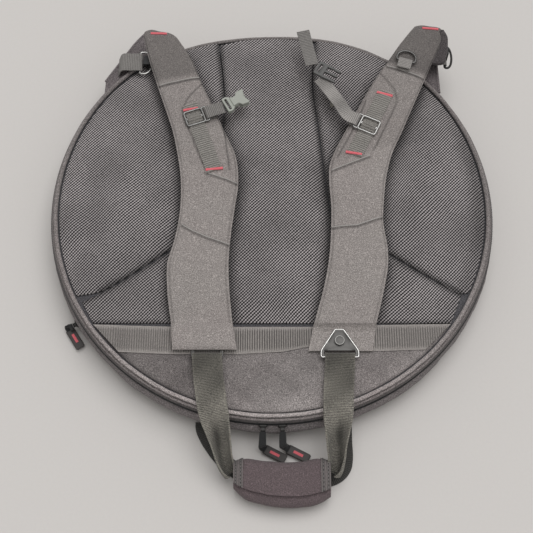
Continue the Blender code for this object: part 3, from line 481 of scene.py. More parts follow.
def turned_skin(skin, turn, place):
    """Turns and moves a whole skin."""
    return turned(skin[0], turn, place), skin[1]


def block(outline, low, high, ease=0.0005):
    """A moulded plate: an outline carried up, its top and bottom rims eased inwards, closed by fans."""
    outline = np.asarray(outline, float)
    middle = outline.mean(axis=0)
    normal = unit(middle - outline)
    rows = []
    for inward, height in ((ease, low), (0.0, low + ease), (0.0, high - ease), (ease, high)):
        flat = outline + normal * inward
        rows.append(np.concatenate([flat, np.full((len(flat), 1), height)], -1))
    return surface(np.stack(rows), round_columns=True, capped=True)


class Finish:
    """Builds one material's nodes; each call gives the socket that the next one reads."""

    def __init__(self, name, roughness, metallic=0.0, sheen=0.0):
        """Starts a material with its fixed values."""
        self.material = bpy.data.materials.new(name)
        self.material.use_nodes = True
        self.tree = self.material.node_tree
        self.shader = self.tree.nodes["Principled BSDF"]
        self.shader.inputs["Roughness"].default_value = roughness
        self.shader.inputs["Metallic"].default_value = metallic
        self.shader.inputs["Sheen Weight"].default_value = sheen
        self.shader.inputs["Sheen Roughness"].default_value = 0.5
        self.shader.inputs["Specular IOR Level"].default_value = 0.5 if metallic else 0.25
        coordinates = self.tree.nodes.new("ShaderNodeTexCoord")
        self.place = coordinates.outputs["Object"]
        self.cloth = coordinates.outputs["UV"]

    def put(self, socket, value):
        """Links a socket, or writes a number or colour."""
        if isinstance(value, bpy.types.NodeSocket):
            self.tree.links.new(value, socket)
        elif isinstance(value, tuple) and len(value) == 3 and socket.type == "RGBA":
            socket.default_value = (*value, 1.0)
        else:
            socket.default_value = value

    def maths(self, operation, first, second=0.0, third=0.0):
        """One step of arithmetic on up to three values."""
        node = self.tree.nodes.new("ShaderNodeMath")
        node.operation = operation
        for socket, value in zip(node.inputs, (first, second, third)):
            self.put(socket, value)
        return node.outputs[0]

    def axes(self, vector):
        """The vector's first two numbers."""
        node = self.tree.nodes.new("ShaderNodeSeparateXYZ")
        self.put(node.inputs[0], vector)
        return node.outputs[0], node.outputs[1]

    def wave(self, value, pitch):
        """Sine of a length, one wave to the pitch."""
        return self.maths("SINE", self.maths("MULTIPLY_ADD", value, 2 * pi / pitch))

    def noise(self, size, detail=2.0, roughness=0.5, vector=None):
        """Noise whose blots are about the size; from 0 to 1."""
        node = self.tree.nodes.new("ShaderNodeTexNoise")
        self.put(node.inputs["Vector"], self.place if vector is None else vector)
        node.inputs["Scale"].default_value = 1 / size
        node.inputs["Detail"].default_value = detail
        node.inputs["Roughness"].default_value = roughness
        return node.outputs["Fac"]

    def stretched(self, scale):
        """The place with each axis scaled."""
        node = self.tree.nodes.new("ShaderNodeMapping")
        self.put(node.inputs["Vector"], self.place)
        node.inputs["Scale"].default_value = scale
        return node.outputs[0]

    def mixed(self, share, first, second, blend="MIX"):
        """Two colours blended by a share."""
        node = self.tree.nodes.new("ShaderNodeMix")
        node.data_type = "RGBA"
        node.blend_type = blend
        self.put(node.inputs["Factor"], share)
        self.put(node.inputs[6], first)
        self.put(node.inputs[7], second)
        return node.outputs[2]

    def tones(self, share, colour, low, high):
        """A colour from its low share to its high one."""
        return self.mixed(share, darker(colour, low), darker(colour, high))

    def sharpened(self, value, low, high):
        """Stretches a value so that it runs from 0 to 1 between two levels, with soft ends."""
        node = self.tree.nodes.new("ShaderNodeMapRange")
        node.interpolation_type = "SMOOTHSTEP"
        self.put(node.inputs["Value"], value)
        node.inputs["From Min"].default_value = low
        node.inputs["From Max"].default_value = high
        return node.outputs["Result"]

    def scaled(self, share, low, high):
        """Brings a share from 0 to 1 to between two numbers."""
        return self.maths("MULTIPLY_ADD", share, high - low, low)

    def colour(self, tone):
        """Writes the base colour; the surface's "dark" attribute, from 0 to 1, darkens it, and on most
        pieces that darkening is painted shade.
        """
        dark = self.tree.nodes.new("ShaderNodeAttribute")
        dark.attribute_name = "dark"
        shaded = self.mixed(dark.outputs["Fac"], tone, (0.05, 0.05, 0.05), "MULTIPLY")
        self.put(self.shader.inputs["Base Color"], shaded)

    def roughness(self, socket):
        """Writes the roughness."""
        self.put(self.shader.inputs["Roughness"], socket)

    def bump(self, height, distance, strength=1.0):
        """Tilts the shading as a height over a distance would."""
        node = self.tree.nodes.new("ShaderNodeBump")
        node.inputs["Strength"].default_value = strength
        node.inputs["Distance"].default_value = distance
        self.put(node.inputs["Height"], height)
        self.tree.links.new(node.outputs[0], self.shader.inputs["Normal"])


def darker(colour, share):
    """The colour times a share."""
    return tuple(value * share for value in colour)


def plain_weave(name, colour, pitch=0.0011, contrast=0.75, patchy=0.12):
    """Woven polyester: warp and weft as a product of two waves, with slubs and painted glints, bright
    specks in the base colour that stand for highlights.

    It fades slowly between a warmer and a greener grey.
    """
    finish = Finish(name, 0.85, sheen=0.10)
    x, y = finish.axes(finish.cloth)
    weave = finish.maths("MULTIPLY", finish.wave(x, pitch), finish.wave(y, pitch))
    slub = finish.noise(0.0010, 1.0, 0.6)
    speck = finish.sharpened(slub, 0.36, 0.64)
    painted_glint = finish.sharpened(finish.noise(0.0013, 0.0), 0.66, 0.80)
    grain = finish.maths("ADD", finish.maths("MULTIPLY", weave, 0.06), speck)
    tone = finish.tones(grain, colour, 1 - contrast, 1 + contrast)
    # Painted highlight: glint specks brighten the base colour.
    tone = finish.mixed(finish.maths("MULTIPLY", painted_glint, 0.6), tone, darker(colour, 2.6))
    warm = tuple(value * share for value, share in zip(colour, (1.05, 0.97, 1.0)))
    fading = finish.sharpened(finish.noise(0.080, 1.0), 0.25, 0.75)
    faded = finish.mixed(fading, darker(warm, 1 - patchy), darker(colour, 1 + patchy))
    finish.colour(finish.mixed(0.25, tone, faded))
    finish.roughness(finish.scaled(slub, 0.70, 0.95))
    finish.bump(grain, 0.0006, 0.8)
    return finish.material


def air_mesh(name):
    """Spacer mesh: two families of slanting yarns over dark holes; the rising one is the stronger.

    The slow wander of the cloth bends the rows.
    """
    finish = Finish(name, 0.70, sheen=0.10)
    pitch = 0.0044
    x, y = finish.axes(finish.place)
    x = finish.maths("MULTIPLY_ADD", finish.noise(0.110, 1.0), 0.022, x)
    y = finish.maths("MULTIPLY_ADD", finish.noise(0.130, 1.0), 0.016, y)
    rising = finish.wave(finish.maths("SUBTRACT", y, x), pitch)
    falling = finish.wave(finish.maths("ADD", y, x), pitch)
    lattice = finish.maths("MULTIPLY_ADD", rising, 0.62, finish.maths("MULTIPLY", falling, 0.38))
    fine = finish.noise(0.0016, 1.0, 0.6)
    height = finish.maths("ADD", lattice, finish.maths("MULTIPLY_ADD", fine, 0.9, -0.45))
    yarn_share = finish.sharpened(height, -0.16, 0.42)
    fading = finish.sharpened(finish.noise(0.070, 2.0), 0.3, 0.7)
    yarn = finish.tones(fading, mesh_yarn, 0.84, 1.14)
    finish.colour(finish.mixed(yarn_share, mesh_hole, yarn))
    finish.roughness(finish.scaled(fine, 0.6, 0.9))
    finish.bump(height, 0.0009, 0.7)
    return finish.material


def ribbed_webbing(name, colour, pitch=0.0026, contrast=0.50, fuzzy=0.45):
    """Webbing: ribs run across it, finer yarns along it, and fuzz breaks both up."""
    finish = Finish(name, 0.75, sheen=0.12)
    x, y = finish.axes(finish.cloth)
    rib = finish.scaled(finish.wave(x, pitch), 0.5, 1.0)
    yarn = finish.maths("MULTIPLY", finish.wave(y, pitch * 0.7), 0.15)
    fuzz = finish.sharpened(finish.noise(0.0014, 1.0, 0.6), 0.35, 0.65)
    height = finish.maths("ADD", rib, finish.maths("MULTIPLY_ADD", fuzz, fuzzy, yarn))
    fading = finish.sharpened(finish.noise(0.045, 3.0), 0.3, 0.7)
    share = finish.sharpened(height, -0.1, 1.1 + fuzzy)
    tone = finish.tones(share, colour, 1 - contrast, 1 + contrast)
    finish.colour(finish.mixed(finish.maths("MULTIPLY", fading, 0.35), tone, darker(colour, 1.25)))
    finish.roughness(finish.scaled(fuzz, 0.6, 0.9))
    finish.bump(height, 0.0006, 0.9)
    return finish.material


def satin_thread(name, colour):
    """Close satin stitches: narrow ridges across the bar, painted lighter on their crowns as a highlight
    and darker between them as shade.
    """
    finish = Finish(name, 0.45, sheen=0.2)
    along = finish.axes(finish.cloth)[0]
    ridge = finish.scaled(finish.wave(along, 0.0007), 0.5, 1.0)
    fuzz = finish.noise(0.0010, 2.0)
    # Painted highlight on the ridges' crowns and painted shade between them.
    finish.colour(finish.tones(ridge, colour, 0.75, 1.2))
    finish.roughness(finish.scaled(fuzz, 0.35, 0.6))
    finish.bump(ridge, 0.0003, 0.8)
    return finish.material


def moulded(name, colour, roughness=0.42):
    """Moulded nylon: fine grain, scuffs that lighten it."""
    finish = Finish(name, roughness)
    grain = finish.noise(0.0008, 2.0)
    scuff = finish.noise(0.006, 4.0, 0.7, finish.stretched((1.0, 3.0, 1.0)))
    worn = finish.maths("GREATER_THAN", scuff, 0.62)
    finish.colour(finish.tones(finish.maths("MULTIPLY", worn, 0.25), colour, 1.0, 1.8))
    finish.roughness(finish.scaled(scuff, roughness - 0.1, roughness + 0.2))
    finish.bump(grain, 0.0001, 0.6)
    return finish.material


def plated(name, colour, roughness=0.3):
    """Plated steel: long brushed lines and dull patches."""
    finish = Finish(name, roughness, metallic=1.0)
    brushed = finish.noise(0.0010, 2.0, 0.5, finish.stretched((1.0, 12.0, 1.0)))
    dull = finish.noise(0.008, 3.0)
    finish.colour(finish.tones(dull, colour, 0.85, 1.12))
    finish.roughness(finish.scaled(brushed, roughness - 0.08, roughness + 0.15))
    finish.bump(brushed, 0.00008, 0.5)
    return finish.material


def coil_plastic(name, colour):
    """The zip's coil: dark glossy monofilament, dusty between its turns."""
    finish = Finish(name, 0.35)
    dust = finish.noise(0.003, 2.0)
    finish.colour(finish.tones(dust, colour, 1.0, 2.6))
    finish.roughness(finish.scaled(dust, 0.28, 0.6))
    finish.bump(dust, 0.0001, 0.4)
    return finish.material


def pale_floor(name):
    """Plain pale floor with the least unevenness of tone."""
    finish = Finish(name, 0.9)
    fleck = finish.noise(0.004, 3.0, 0.7)
    finish.colour(finish.tones(fleck, floor_colour, 0.97, 1.03))
    return finish.material


mesh_look = air_mesh("air_mesh")
panel_look = plain_weave("panel_cloth", panel_cloth_colour, contrast=0.62)
strap_look = plain_weave("strap_cloth", strap_cloth_colour, contrast=0.45, patchy=0.06)
rim_look = plain_weave("rim_cloth", rim_cloth_colour)
welt_look = plain_weave("welt_cloth", welt_colour)
gusset_look = plain_weave("gusset_cloth", gusset_cloth_colour)
band_look = plain_weave("band_cloth", band_cloth_colour)
grip_look = plain_weave("grip_cloth", grip_colour, contrast=0.38)
lining_look = plain_weave("lining_cloth", lining_colour, pitch=0.0016)
webbing_look = ribbed_webbing("olive_webbing", webbing_colour, pitch=0.0020, contrast=0.78, fuzzy=0.85)
belt_look = ribbed_webbing("belt_webbing", belt_colour, pitch=0.0012)
ladder_look = ribbed_webbing("ladder_webbing", ladder_colour, pitch=0.0012, fuzzy=0.6)
chest_look = ribbed_webbing("chest_webbing", chest_colour, pitch=0.0024)
# Lighter chest webbing: on the right chest band partly painted light, on the ring tab its own tone.
pale_chest_look = ribbed_webbing("pale_chest_webbing", pale_chest_colour, pitch=0.0024)
binding_look = ribbed_webbing("grip_binding", binding_colour)
dark_webbing_look = ribbed_webbing("dark_webbing", dark_webbing_colour)
red_look = satin_thread("red_thread", red_thread_colour)
thread_look = satin_thread("pale_thread", pale_thread_colour)
grey_thread_look = satin_thread("grey_thread", grey_thread_colour)
zip_tape_look = ribbed_webbing("zip_tape", zip_colour, pitch=0.0012)
coil_look = coil_plastic("zip_coil", zip_colour)
nylon_look = moulded("black_nylon", nylon_colour)
grey_nylon_look = moulded("grey_nylon", grey_nylon_colour, 0.30)
buckle_look = moulded("pale_buckle", buckle_colour, 0.38)
steel_look = plated("bright_steel", steel_colour, 0.26)
# The left plate's wire takes this dark steel as painted shade.
dark_steel_look = plated("dark_steel", dark_steel_colour, 0.34)
# Black metal: the zip sliders' paint; the right wing ring takes it as painted shade.
black_metal_look = plated("black_metal", darker(dark_steel_colour, 0.35), 0.45)
polished_look = plated("polished_wire", polished_colour, 0.20)
# Lit and shaded copies of the sliders' steel: the right slider's is brighter as painted light, the left
# one's darker as painted shade.
lit_slider_look = plated("lit_slider_steel", darker(steel_colour, 0.85), 0.28)
shaded_slider_look = plated("shaded_slider_steel", darker(steel_colour, 0.52), 0.30)
tag_look = moulded("rubber_tag", tag_colour, 0.50)
plate_look = plated("satin_plate", plate_colour, 0.55)


def blown(top, bottom):
    """New places of a cloth top blown up with air; its edge and the bottom are held."""
    rows, columns = top.shape[:2]
    places, groups = cushion_skin(top, bottom)
    mesh = bpy.data.meshes.new("blown_cloth")
    mesh.from_pydata(places.tolist(), [], np.concatenate([part[0] for part in groups]).tolist())
    shell = bmesh.new()
    shell.from_mesh(mesh)
    bmesh.ops.recalc_face_normals(shell, faces=shell.faces)
    shell.to_mesh(mesh)
    shell.free()
    cloth = bpy.data.objects.new("blown_cloth", mesh)
    bpy.context.collection.objects.link(cloth)
    held = np.ones((rows, columns), bool)
    held[1:-1, 1:-1] = False
    held = np.concatenate([held.ravel(), np.ones(rows * columns, bool)])
    group = cloth.vertex_groups.new(name="held")
    group.add(np.flatnonzero(held).tolist(), 1.0, "REPLACE")
    air = cloth.modifiers.new("air", "CLOTH")
    air.settings.vertex_group_mass = "held"
    air.settings.use_pressure = True
    air.settings.uniform_pressure_force = air_pressure
    air.settings.effector_weights.gravity = 0.0
    air.settings.quality = 5
    air.collision_settings.use_self_collision = False
    air.point_cache.frame_start = 1
    air.point_cache.frame_end = air_frames
    scene = bpy.context.scene
    for step in range(1, air_frames + 1):
        scene.frame_set(step)
    swollen = cloth.evaluated_get(bpy.context.evaluated_depsgraph_get())
    found = np.empty(len(places) * 3)
    swollen.data.vertices.foreach_get("co", found)
    bpy.data.objects.remove(cloth, do_unlink=True)
    bpy.data.meshes.remove(mesh)
    scene.frame_set(1)
    return found.reshape(-1, 3)[:rows * columns].reshape(rows, columns, 3)


def swell(top, bottom, most, cells=(36, 36), level_share=0.5):
    """How far each place of a top grid rises as cloth.

    It is the blown lift of a coarse copy, read between its places, brought to the most and flattened
    on its crown by a hyperbolic tangent.
    """
    rows, columns = top.shape[:2]
    pick_rows = np.linspace(0, rows - 1, cells[0])
    pick_columns = np.linspace(0, columns - 1, cells[1])
    coarse = [sampled(grid, pick_rows, pick_columns) for grid in (top, bottom)]
    lift = (blown(*coarse) - coarse[0])[..., 2]
    at_rows = np.interp(np.arange(rows), pick_rows, np.arange(cells[0]))
    at_columns = np.interp(np.arange(columns), pick_columns, np.arange(cells[1]))
    lift = sampled(lift[..., None], at_rows, at_columns)[..., 0]
    lift = np.maximum(lift, 0.0) / max(lift.max(), tiny)
    return most * np.tanh(lift / level_share) / np.tanh(1 / level_share)


def sampled(grid, rows, columns):
    """A grid read at broken row and column numbers by straight blends."""
    row = np.minimum(rows.astype(int), grid.shape[0] - 2)
    column = np.minimum(columns.astype(int), grid.shape[1] - 2)
    down = (rows - row)[:, None, None]
    along = (columns - column)[None, :, None]
    first = grid[row][:, column] * (1 - along) + grid[row][:, column + 1] * along
    second = grid[row + 1][:, column] * (1 - along) + grid[row + 1][:, column + 1] * along
    return first * (1 - down) + second * down


def with_height(plan, height):
    """Plan places with a height."""
    height = np.broadcast_to(np.asarray(height, float), plan.shape[:-1])
    return np.concatenate([plan, height[..., None]], -1)


# Rim of the bag: panels, pipings, gussets and zips
rim_angles = circle(rim_steps)
piping_radius = 0.0027
piping_steps = 32
seam_angle = radians(22)
seam_spread = radians(13)


def off_near_side(middle):
    """Round the rim: 0 at the near side's middle, in degrees, rising to 1 away from it."""
    return 1 - bell(rim_angles - radians(middle), radians(58))


def round_the_rim(profile, angles=rim_angles, swing=None):
    """A closed profile of radius and height carried round the rim, its radii shifted by the swing."""
    profile = np.asarray(profile, float)
    radii = np.broadcast_to(profile[None, :, 0], (len(angles), len(profile)))
    if swing is not None:
        radii = radii + swing
    grid = np.concatenate([rim(radii, angles[:, None] + 0 * radii), np.broadcast_to(
        profile[None, :, 1:2], (len(angles), len(profile), 1))], -1)
    return sunk(grid)


def ring_piece(name, profile, holder, look, stands_for, swing=None, angles=rim_angles, crease=50,
               dark=None):
    """A closed profile round the rim as a piece; a part turn is capped.

    The dark values go round the profile, or round the rim and the profile.
    """
    whole = len(angles) == rim_steps
    grid = round_the_rim(profile, angles, swing)
    along = seam_radius * np.append(angles, angles[-1] + angles[1] - angles[0])
    skin = surface(grid, round_rows=whole, round_columns=True, capped=not whole, along=along)
    if dark is not None:
        dark = np.broadcast_to(dark, (len(angles), len(profile)))
    return piece(name, skin, holder, look, stands_for, crease, dark=dark)


def cloth_band(radii, heights, thickness, steps=9):
    """Profile of a standing band: the outer line through the places, and that line moved in."""
    line = through(np.stack([radii, heights], -1), steps)
    return np.concatenate([line, line[::-1] - (thickness, 0.0)])


def round_panel(name, profile, holder, look, stands_for):
    """A profile from the middle, out to the rim and back to the middle, turned round the plan outline."""
    profile = np.asarray(profile, float)
    grid = round_the_rim(profile)
    skin = surface(grid, round_rows=True, along=seam_radius * np.append(rim_angles, 2 * pi))
    places, groups = skin
    faces, _, number = groups[0]
    groups = [(faces, places[faces][..., :2], number)]
    return piece(name, (places, groups), holder, look, stands_for, weld=tiny * 10)


round_panel(
    "front_face", [(0.0, 0.0010), (0.15, 0.0004), (0.25, 0.0000), (0.2780, 0.0002), (0.2840, 0.0008),
                   (0.2862, 0.0018), (0.2850, 0.0033), (0.2750, 0.0035), (0.15, 0.0035), (0.0, 0.0035)],
    "case", panel_look, ("front_panel",))

piping_section = round_section(piping_radius, piping_steps)


def welt(name, radius, height, holder, look, stands_for, seed):
    """Piping: a cloth-covered cord, slightly lumpy, with a dark seam along its outer side and painted shade
    that darkens it away from the near side.
    """
    lumps = ripple(seam_radius * rim_angles, 0.060, 0.00012, seed)[:, None]
    profile = piping_section + (radius, height)
    turn = np.arctan2(piping_section[:, 1], piping_section[:, 0])
    seam = 0.85 * bell(turn - seam_angle, seam_spread)
    # Painted shade: the piping grows darker away from the near side.
    dark = np.maximum(seam[None], 0.52 * off_near_side(266)[:, None])
    return ring_piece(name, profile, holder, look, stands_for, swing=lumps, crease=80, dark=dark)


welt("front_welt", 0.2890, 0.0042, "case", gusset_look, ("front_piping",), 1)
welt("back_welt", 0.2874, 0.0586, "lid", welt_look, ("back_piping",), 2)


def band_swing(profile, seed, height, sag=0.0):
    """Soft buckles of a standing band: waves along the rim that fade out towards its two seams.

    The sag leans it outwards on the near side.
    """
    profile = np.asarray(profile)
    reach = (profile[:, 1] - profile[:, 1].min()) / np.ptp(profile[:, 1])
    fade = np.sin(pi * reach) ** 0.7
    run = seam_radius * rim_angles
    waves = ripple(run, 0.160, height, seed) + ripple(run, 0.031, height * 0.3, seed + 50)
    waves = waves + sag * bell(rim_angles - radians(270), radians(40))
    return waves[:, None] * fade[None]


band = cloth_band((0.2912, 0.2937, 0.2945), (0.0076, 0.0110, 0.0147), 0.0020)
ring_piece("pocket_band", band, "case", gusset_look, ("pocket_gusset",),
           band_swing(band, 3, 0.0003))
round_panel(
    "pocket_divider", [(0.0, 0.0152), (0.15, 0.0151), (0.2880, 0.0152), (0.2930, 0.0154), (0.2938, 0.0160),
                       (0.2930, 0.0167), (0.2880, 0.0169), (0.15, 0.0169), (0.0, 0.0169)],
    "case", lining_look, ("pocket_wall",))
band = cloth_band((0.2955, 0.2972, 0.2975, 0.2968, 0.2950), (0.0174, 0.0225, 0.0280, 0.0350, 0.0409),
                  0.0022)
# Painted shade: the main band grows darker away from the near side.
ring_piece("main_band", band, "case", band_look, ("main_gusset",),
           band_swing(band, 5, 0.0006, 0.0034), dark=0.34 * off_near_side(270)[:, None])
band = cloth_band((0.2945, 0.2935, 0.2916), (0.0491, 0.0520, 0.0552), 0.0018, 17)
# The upper band is darker on its lower part, and painted shade darkens it away from the near side.
dark = 0.72 * (1 - smoothly(0.0528, 0.0546, band[:, 1]))
dark = np.maximum(dark[None], 0.50 * off_near_side(266)[:, None])
ring_piece("upper_band", band, "lid", rim_look, ("upper_gusset",),
           band_swing(band, 7, 0.0002), dark=dark)
round_panel(
    "lid_board", [(0.0, 0.0501), (0.15, 0.0501), (0.2860, 0.0502), (0.2888, 0.0512), (0.2885, 0.0532),
                  (0.2860, 0.0540), (0.15, 0.0540), (0.0, 0.0540)],
    "lid", [lining_look], ("back_board",))

zip_start = radians(140)
zip_stop = radians(400)
coil_radius = 0.2944
coil_pitch = 0.0024
coil_offset = 0.0008
hinge_start = radians(41)
hinge_stop = radians(139)
page_thickness = 0.0030
zip_angles = np.linspace(zip_start, zip_stop, 300)
tape = [(0.2945, 0.0414), (0.2950, 0.0420), (0.2947, 0.0436), (0.2946, 0.0446), (0.2934, 0.0446),
        (0.2934, 0.0414)]
ring_piece("lower_zip_tape", tape, "case", zip_tape_look, ("zip_tape_lower",), angles=zip_angles)
tape = [(radius, 2 * zip_line - height) for radius, height in tape]
ring_piece("upper_zip_tape", tape, "lid", zip_tape_look, ("zip_tape_upper",), angles=zip_angles)


def coil(name, radius, height, start, stop, pitch, holder, lean):
    """A zip's coil: a thin tube on a helix along the rim; place = rim + outward * a cos + up * b sin."""
    turns = int(seam_radius * (stop - start) / pitch)
    phase = np.arange(turns * 8) * pi / 4 + lean
    angles = np.linspace(start, stop, len(phase))
    width = pitch * 0.42
    centre = with_height(rim(radius, angles), height)
    outward = with_height(unit(rim(radius, angles)), 0.0)
    around = outward * np.cos(phase)[:, None] + np.array((0.0, 0.0, 1.0)) * np.sin(phase)[:, None]
    path = sunk(centre + around * width)
    skin = strand(path, around, round_section(pitch * 0.2, 4))
    return piece(name, skin, holder, coil_look, crease=80)


coil("lower_coil", coil_radius, zip_line - coil_offset, zip_start, zip_stop, coil_pitch, "case", 0.0)
coil("upper_coil", coil_radius, zip_line + coil_offset, zip_start, zip_stop, coil_pitch, "lid", pi)
coil("pocket_coil", 0.2950, 0.0158, radians(173), radians(244), 0.0020, "case", 0.0)

hinge_angles = np.linspace(hinge_start, hinge_stop, 90)
band = cloth_band((0.2945, 0.2940, 0.2945), (0.0414, 0.0450, 0.0487), 0.0018)
grid = round_the_rim(band, hinge_angles)
skin = surface(grid, round_columns=True, capped=True, along=seam_radius * hinge_angles)
hinge_band = piece("hinge_band", skin, None, gusset_look, ("hinge_gusset",))
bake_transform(hinge_band)

# Divider pages
for name, low in (("page_one", 0.0173), ("page_two", 0.0206)):
    high = low + page_thickness
    round_panel(
        name + "_foam", [(0.0, low), (0.15, low), (0.2680, low), (0.2715, low + 0.0006),
                         (0.2720, low + 0.0015), (0.2715, high - 0.0006), (0.2680, high), (0.15, high),
                         (0.0, high)],
        name, lining_look, (name,))

# Plan edges of the shoulder straps
strap_lines = {
    "left": {
        "near": [(-0.1280, -0.1700), (-0.0890, -0.1700), (-0.0500, -0.1700)],
        "left": [(-0.1280, -0.1700), (-0.1345, -0.1200), (-0.1350, -0.0900), (-0.1275, -0.0600),
                 (-0.1220, -0.0300), (-0.1200, 0.0100), (-0.1220, 0.0400), (-0.1270, 0.0700),
                 (-0.1335, 0.1000), (-0.1460, 0.1400), (-0.1595, 0.1800), (-0.1720, 0.2200),
                 (-0.1795, 0.2520)],
        "right": [(-0.0500, -0.1700), (-0.0550, -0.1200), (-0.0560, -0.0900), (-0.0535, -0.0500),
                  (-0.0485, -0.0100), (-0.0445, 0.0250), (-0.0475, 0.0600), (-0.0630, 0.1000),
                  (-0.0800, 0.1400), (-0.0975, 0.1800), (-0.1140, 0.2200), (-0.1285, 0.2410)],
        "far": [(-0.1795, 0.2520), (-0.1780, 0.2590), (-0.1715, 0.2625), (-0.1560, 0.2600),
                (-0.1400, 0.2560), (-0.1330, 0.2500), (-0.1285, 0.2410)]},
    "right": {
        "near": [(0.0530, -0.1700), (0.0920, -0.1700), (0.1320, -0.1700)],
        "left": [(0.0530, -0.1700), (0.0655, -0.1250), (0.0727, -0.0900), (0.0770, -0.0450),
                 (0.0780, -0.0100), (0.0760, 0.0300), (0.0770, 0.0500), (0.0840, 0.0700),
                 (0.0985, 0.1000), (0.1190, 0.1400), (0.1410, 0.1800), (0.1670, 0.2200), (0.1860, 0.2480),
                 (0.1980, 0.2630)],
        "right": [(0.1320, -0.1700), (0.1443, -0.1200), (0.1497, -0.0900), (0.1500, -0.0700),
                  (0.1455, -0.0300), (0.1475, 0.0000), (0.1525, 0.0350), (0.1620, 0.0700),
                  (0.1755, 0.1000), (0.1925, 0.1400), (0.2100, 0.1800), (0.2275, 0.2200), (0.2410, 0.2510)],
        "far": [(0.1980, 0.2630), (0.2015, 0.2685), (0.2080, 0.2705), (0.2240, 0.2690), (0.2370, 0.2660),
                (0.2420, 0.2600), (0.2410, 0.2510)]}}

# Mesh pads of the back
pad_low = 0.0543
pad_edge_top = 0.0572
pad_fine = 96
gathered = 0.75
press_share = 0.45
press_reach = 0.0120
low_mesh_fine = 40
low_mesh_top = 0.0558
low_mesh_rise = 0.0010


def plan_line(places, count=pad_fine):
    """A smooth plan line, stepped as the pads' grids are."""
    return through(places, count, gathered)


def rim_line(start, stop, count=pad_fine):
    """A stretch of the rim, stepped as the pads' grids are."""
    return rim(pad_radius, start + (stop - start) * shares(count, gathered))


def rim_place(degrees):
    """The place on the pads' outer edge at an angle."""
    return tuple(rim(pad_radius, np.array(radians(degrees))))


def from_straps(plan):
    """Least plan distance from each place to a long edge of either strap."""
    edges = [lines[name] for lines in strap_lines.values() for name in ("left", "right")]
    return np.min([apart(plan, edge) for edge in edges], axis=0)


def pad(side, near, far, left, right, lift, seed, seams):
    """A mesh pad: a sheet between four lines, blown up and pressed down along the straps' edges.

    It carries painted shade there, as the straps' contact shadow, in the valleys along its own seams and
    towards the rim on the right.
    """
    plan = patch(near, far, left, right, shares(len(left), gathered), shares(len(near), gathered))
    top = with_height(plan, pad_edge_top)
    bottom = with_height(plan, pad_low)
    rise = swell(top, bottom, lift)
    uneven = ripple(plan[..., 0] + 0.6 * plan[..., 1], 0.21, 0.00045, seed) + ripple(
        plan[..., 1] - 0.4 * plan[..., 0], 0.17, 0.00045, seed + 1)
    off_straps = from_straps(plan)
    pressed = press_share * bell(off_straps, press_reach)
    top[..., 2] += rise * (1 - pressed) + uneven * rise / lift
    # Painted shade: the straps' contact shadow, the seams' valleys and the right side of the rim.
    dark = 0.62 * bell(off_straps, 0.0085)
    turn = np.arctan2(plan[..., 1], plan[..., 0])
    reach = np.hypot(plan[..., 0], plan[..., 1]) / rim_factor(turn)
    dark = np.maximum(dark, 0.40 * smoothly(0.2560, 0.2780, reach) * bell(turn, radians(30)))
    for seam in seams:
        dark = np.maximum(dark, 0.70 * bell(apart(plan, seam), 0.0046))
    dark = np.stack([dark, 0 * dark])
    skin = cushion_skin(sunk(top), sunk(bottom))
    made = piece(side + "_mesh_pad", skin, "lid", mesh_look, (side + "_pad",), crease=70, dark=dark)


centre_left = [(-0.0820, -0.1655), (-0.0825, -0.0350), (-0.0765, 0.0200), (-0.0710, 0.0710),
               (-0.0655, 0.1280), (-0.0655, 0.1760), (-0.0735, 0.2530)]
centre_right = [(0.0795, -0.1655), (0.0795, -0.0350), (0.0735, 0.0200), (0.0680, 0.0710), (0.0625, 0.1280),
                (0.0570, 0.1760), (0.0600, 0.2560)]
seam_gap = 0.0016
pad("centre", plan_line([centre_left[0], (0.0, -0.1655), centre_right[0]]),
    plan_line([centre_left[-1], (-0.0400, 0.2612), (0.0, 0.2640), (0.0340, 0.2622), centre_right[-1]]),
    plan_line(centre_left), plan_line(centre_right), 0.0075, 11, (centre_left, centre_right))
left_inner = [(x - seam_gap, y) for x, y in centre_left[1:]]
left_lower = [(-0.2215, -0.1221), (-0.1931, -0.1051), (-0.1562, -0.0795), (-0.1278, -0.0596), left_inner[0]]
pad("left", plan_line([rim_place(207)] + left_lower), plan_line([rim_place(107), left_inner[-1]]),
    rim_line(radians(207), radians(107)), plan_line(left_inner), 0.0072, 13, (left_inner, left_lower))
right_inner = [(x + seam_gap, y) for x, y in centre_right[1:]]
right_lower = [right_inner[0], (0.1534, -0.0682), (0.1874, -0.0909), (0.2102, -0.1051), (0.2442, -0.1250)]
pad("right", plan_line(right_lower + [rim_place(-26)]), plan_line([right_inner[-1], rim_place(75)]),
    plan_line(right_inner), rim_line(radians(-26), radians(75)), 0.0072, 17, (right_inner, right_lower))

# Flat mesh under the pads, the lower panel and the belt


def dome(count):
    """1 in the middle of a square grid, falling to 0 at its edges as two parabolas' product."""
    s = shares(count, gathered)
    return (4 * s * (1 - s))[:, None] * (4 * s * (1 - s))[None]


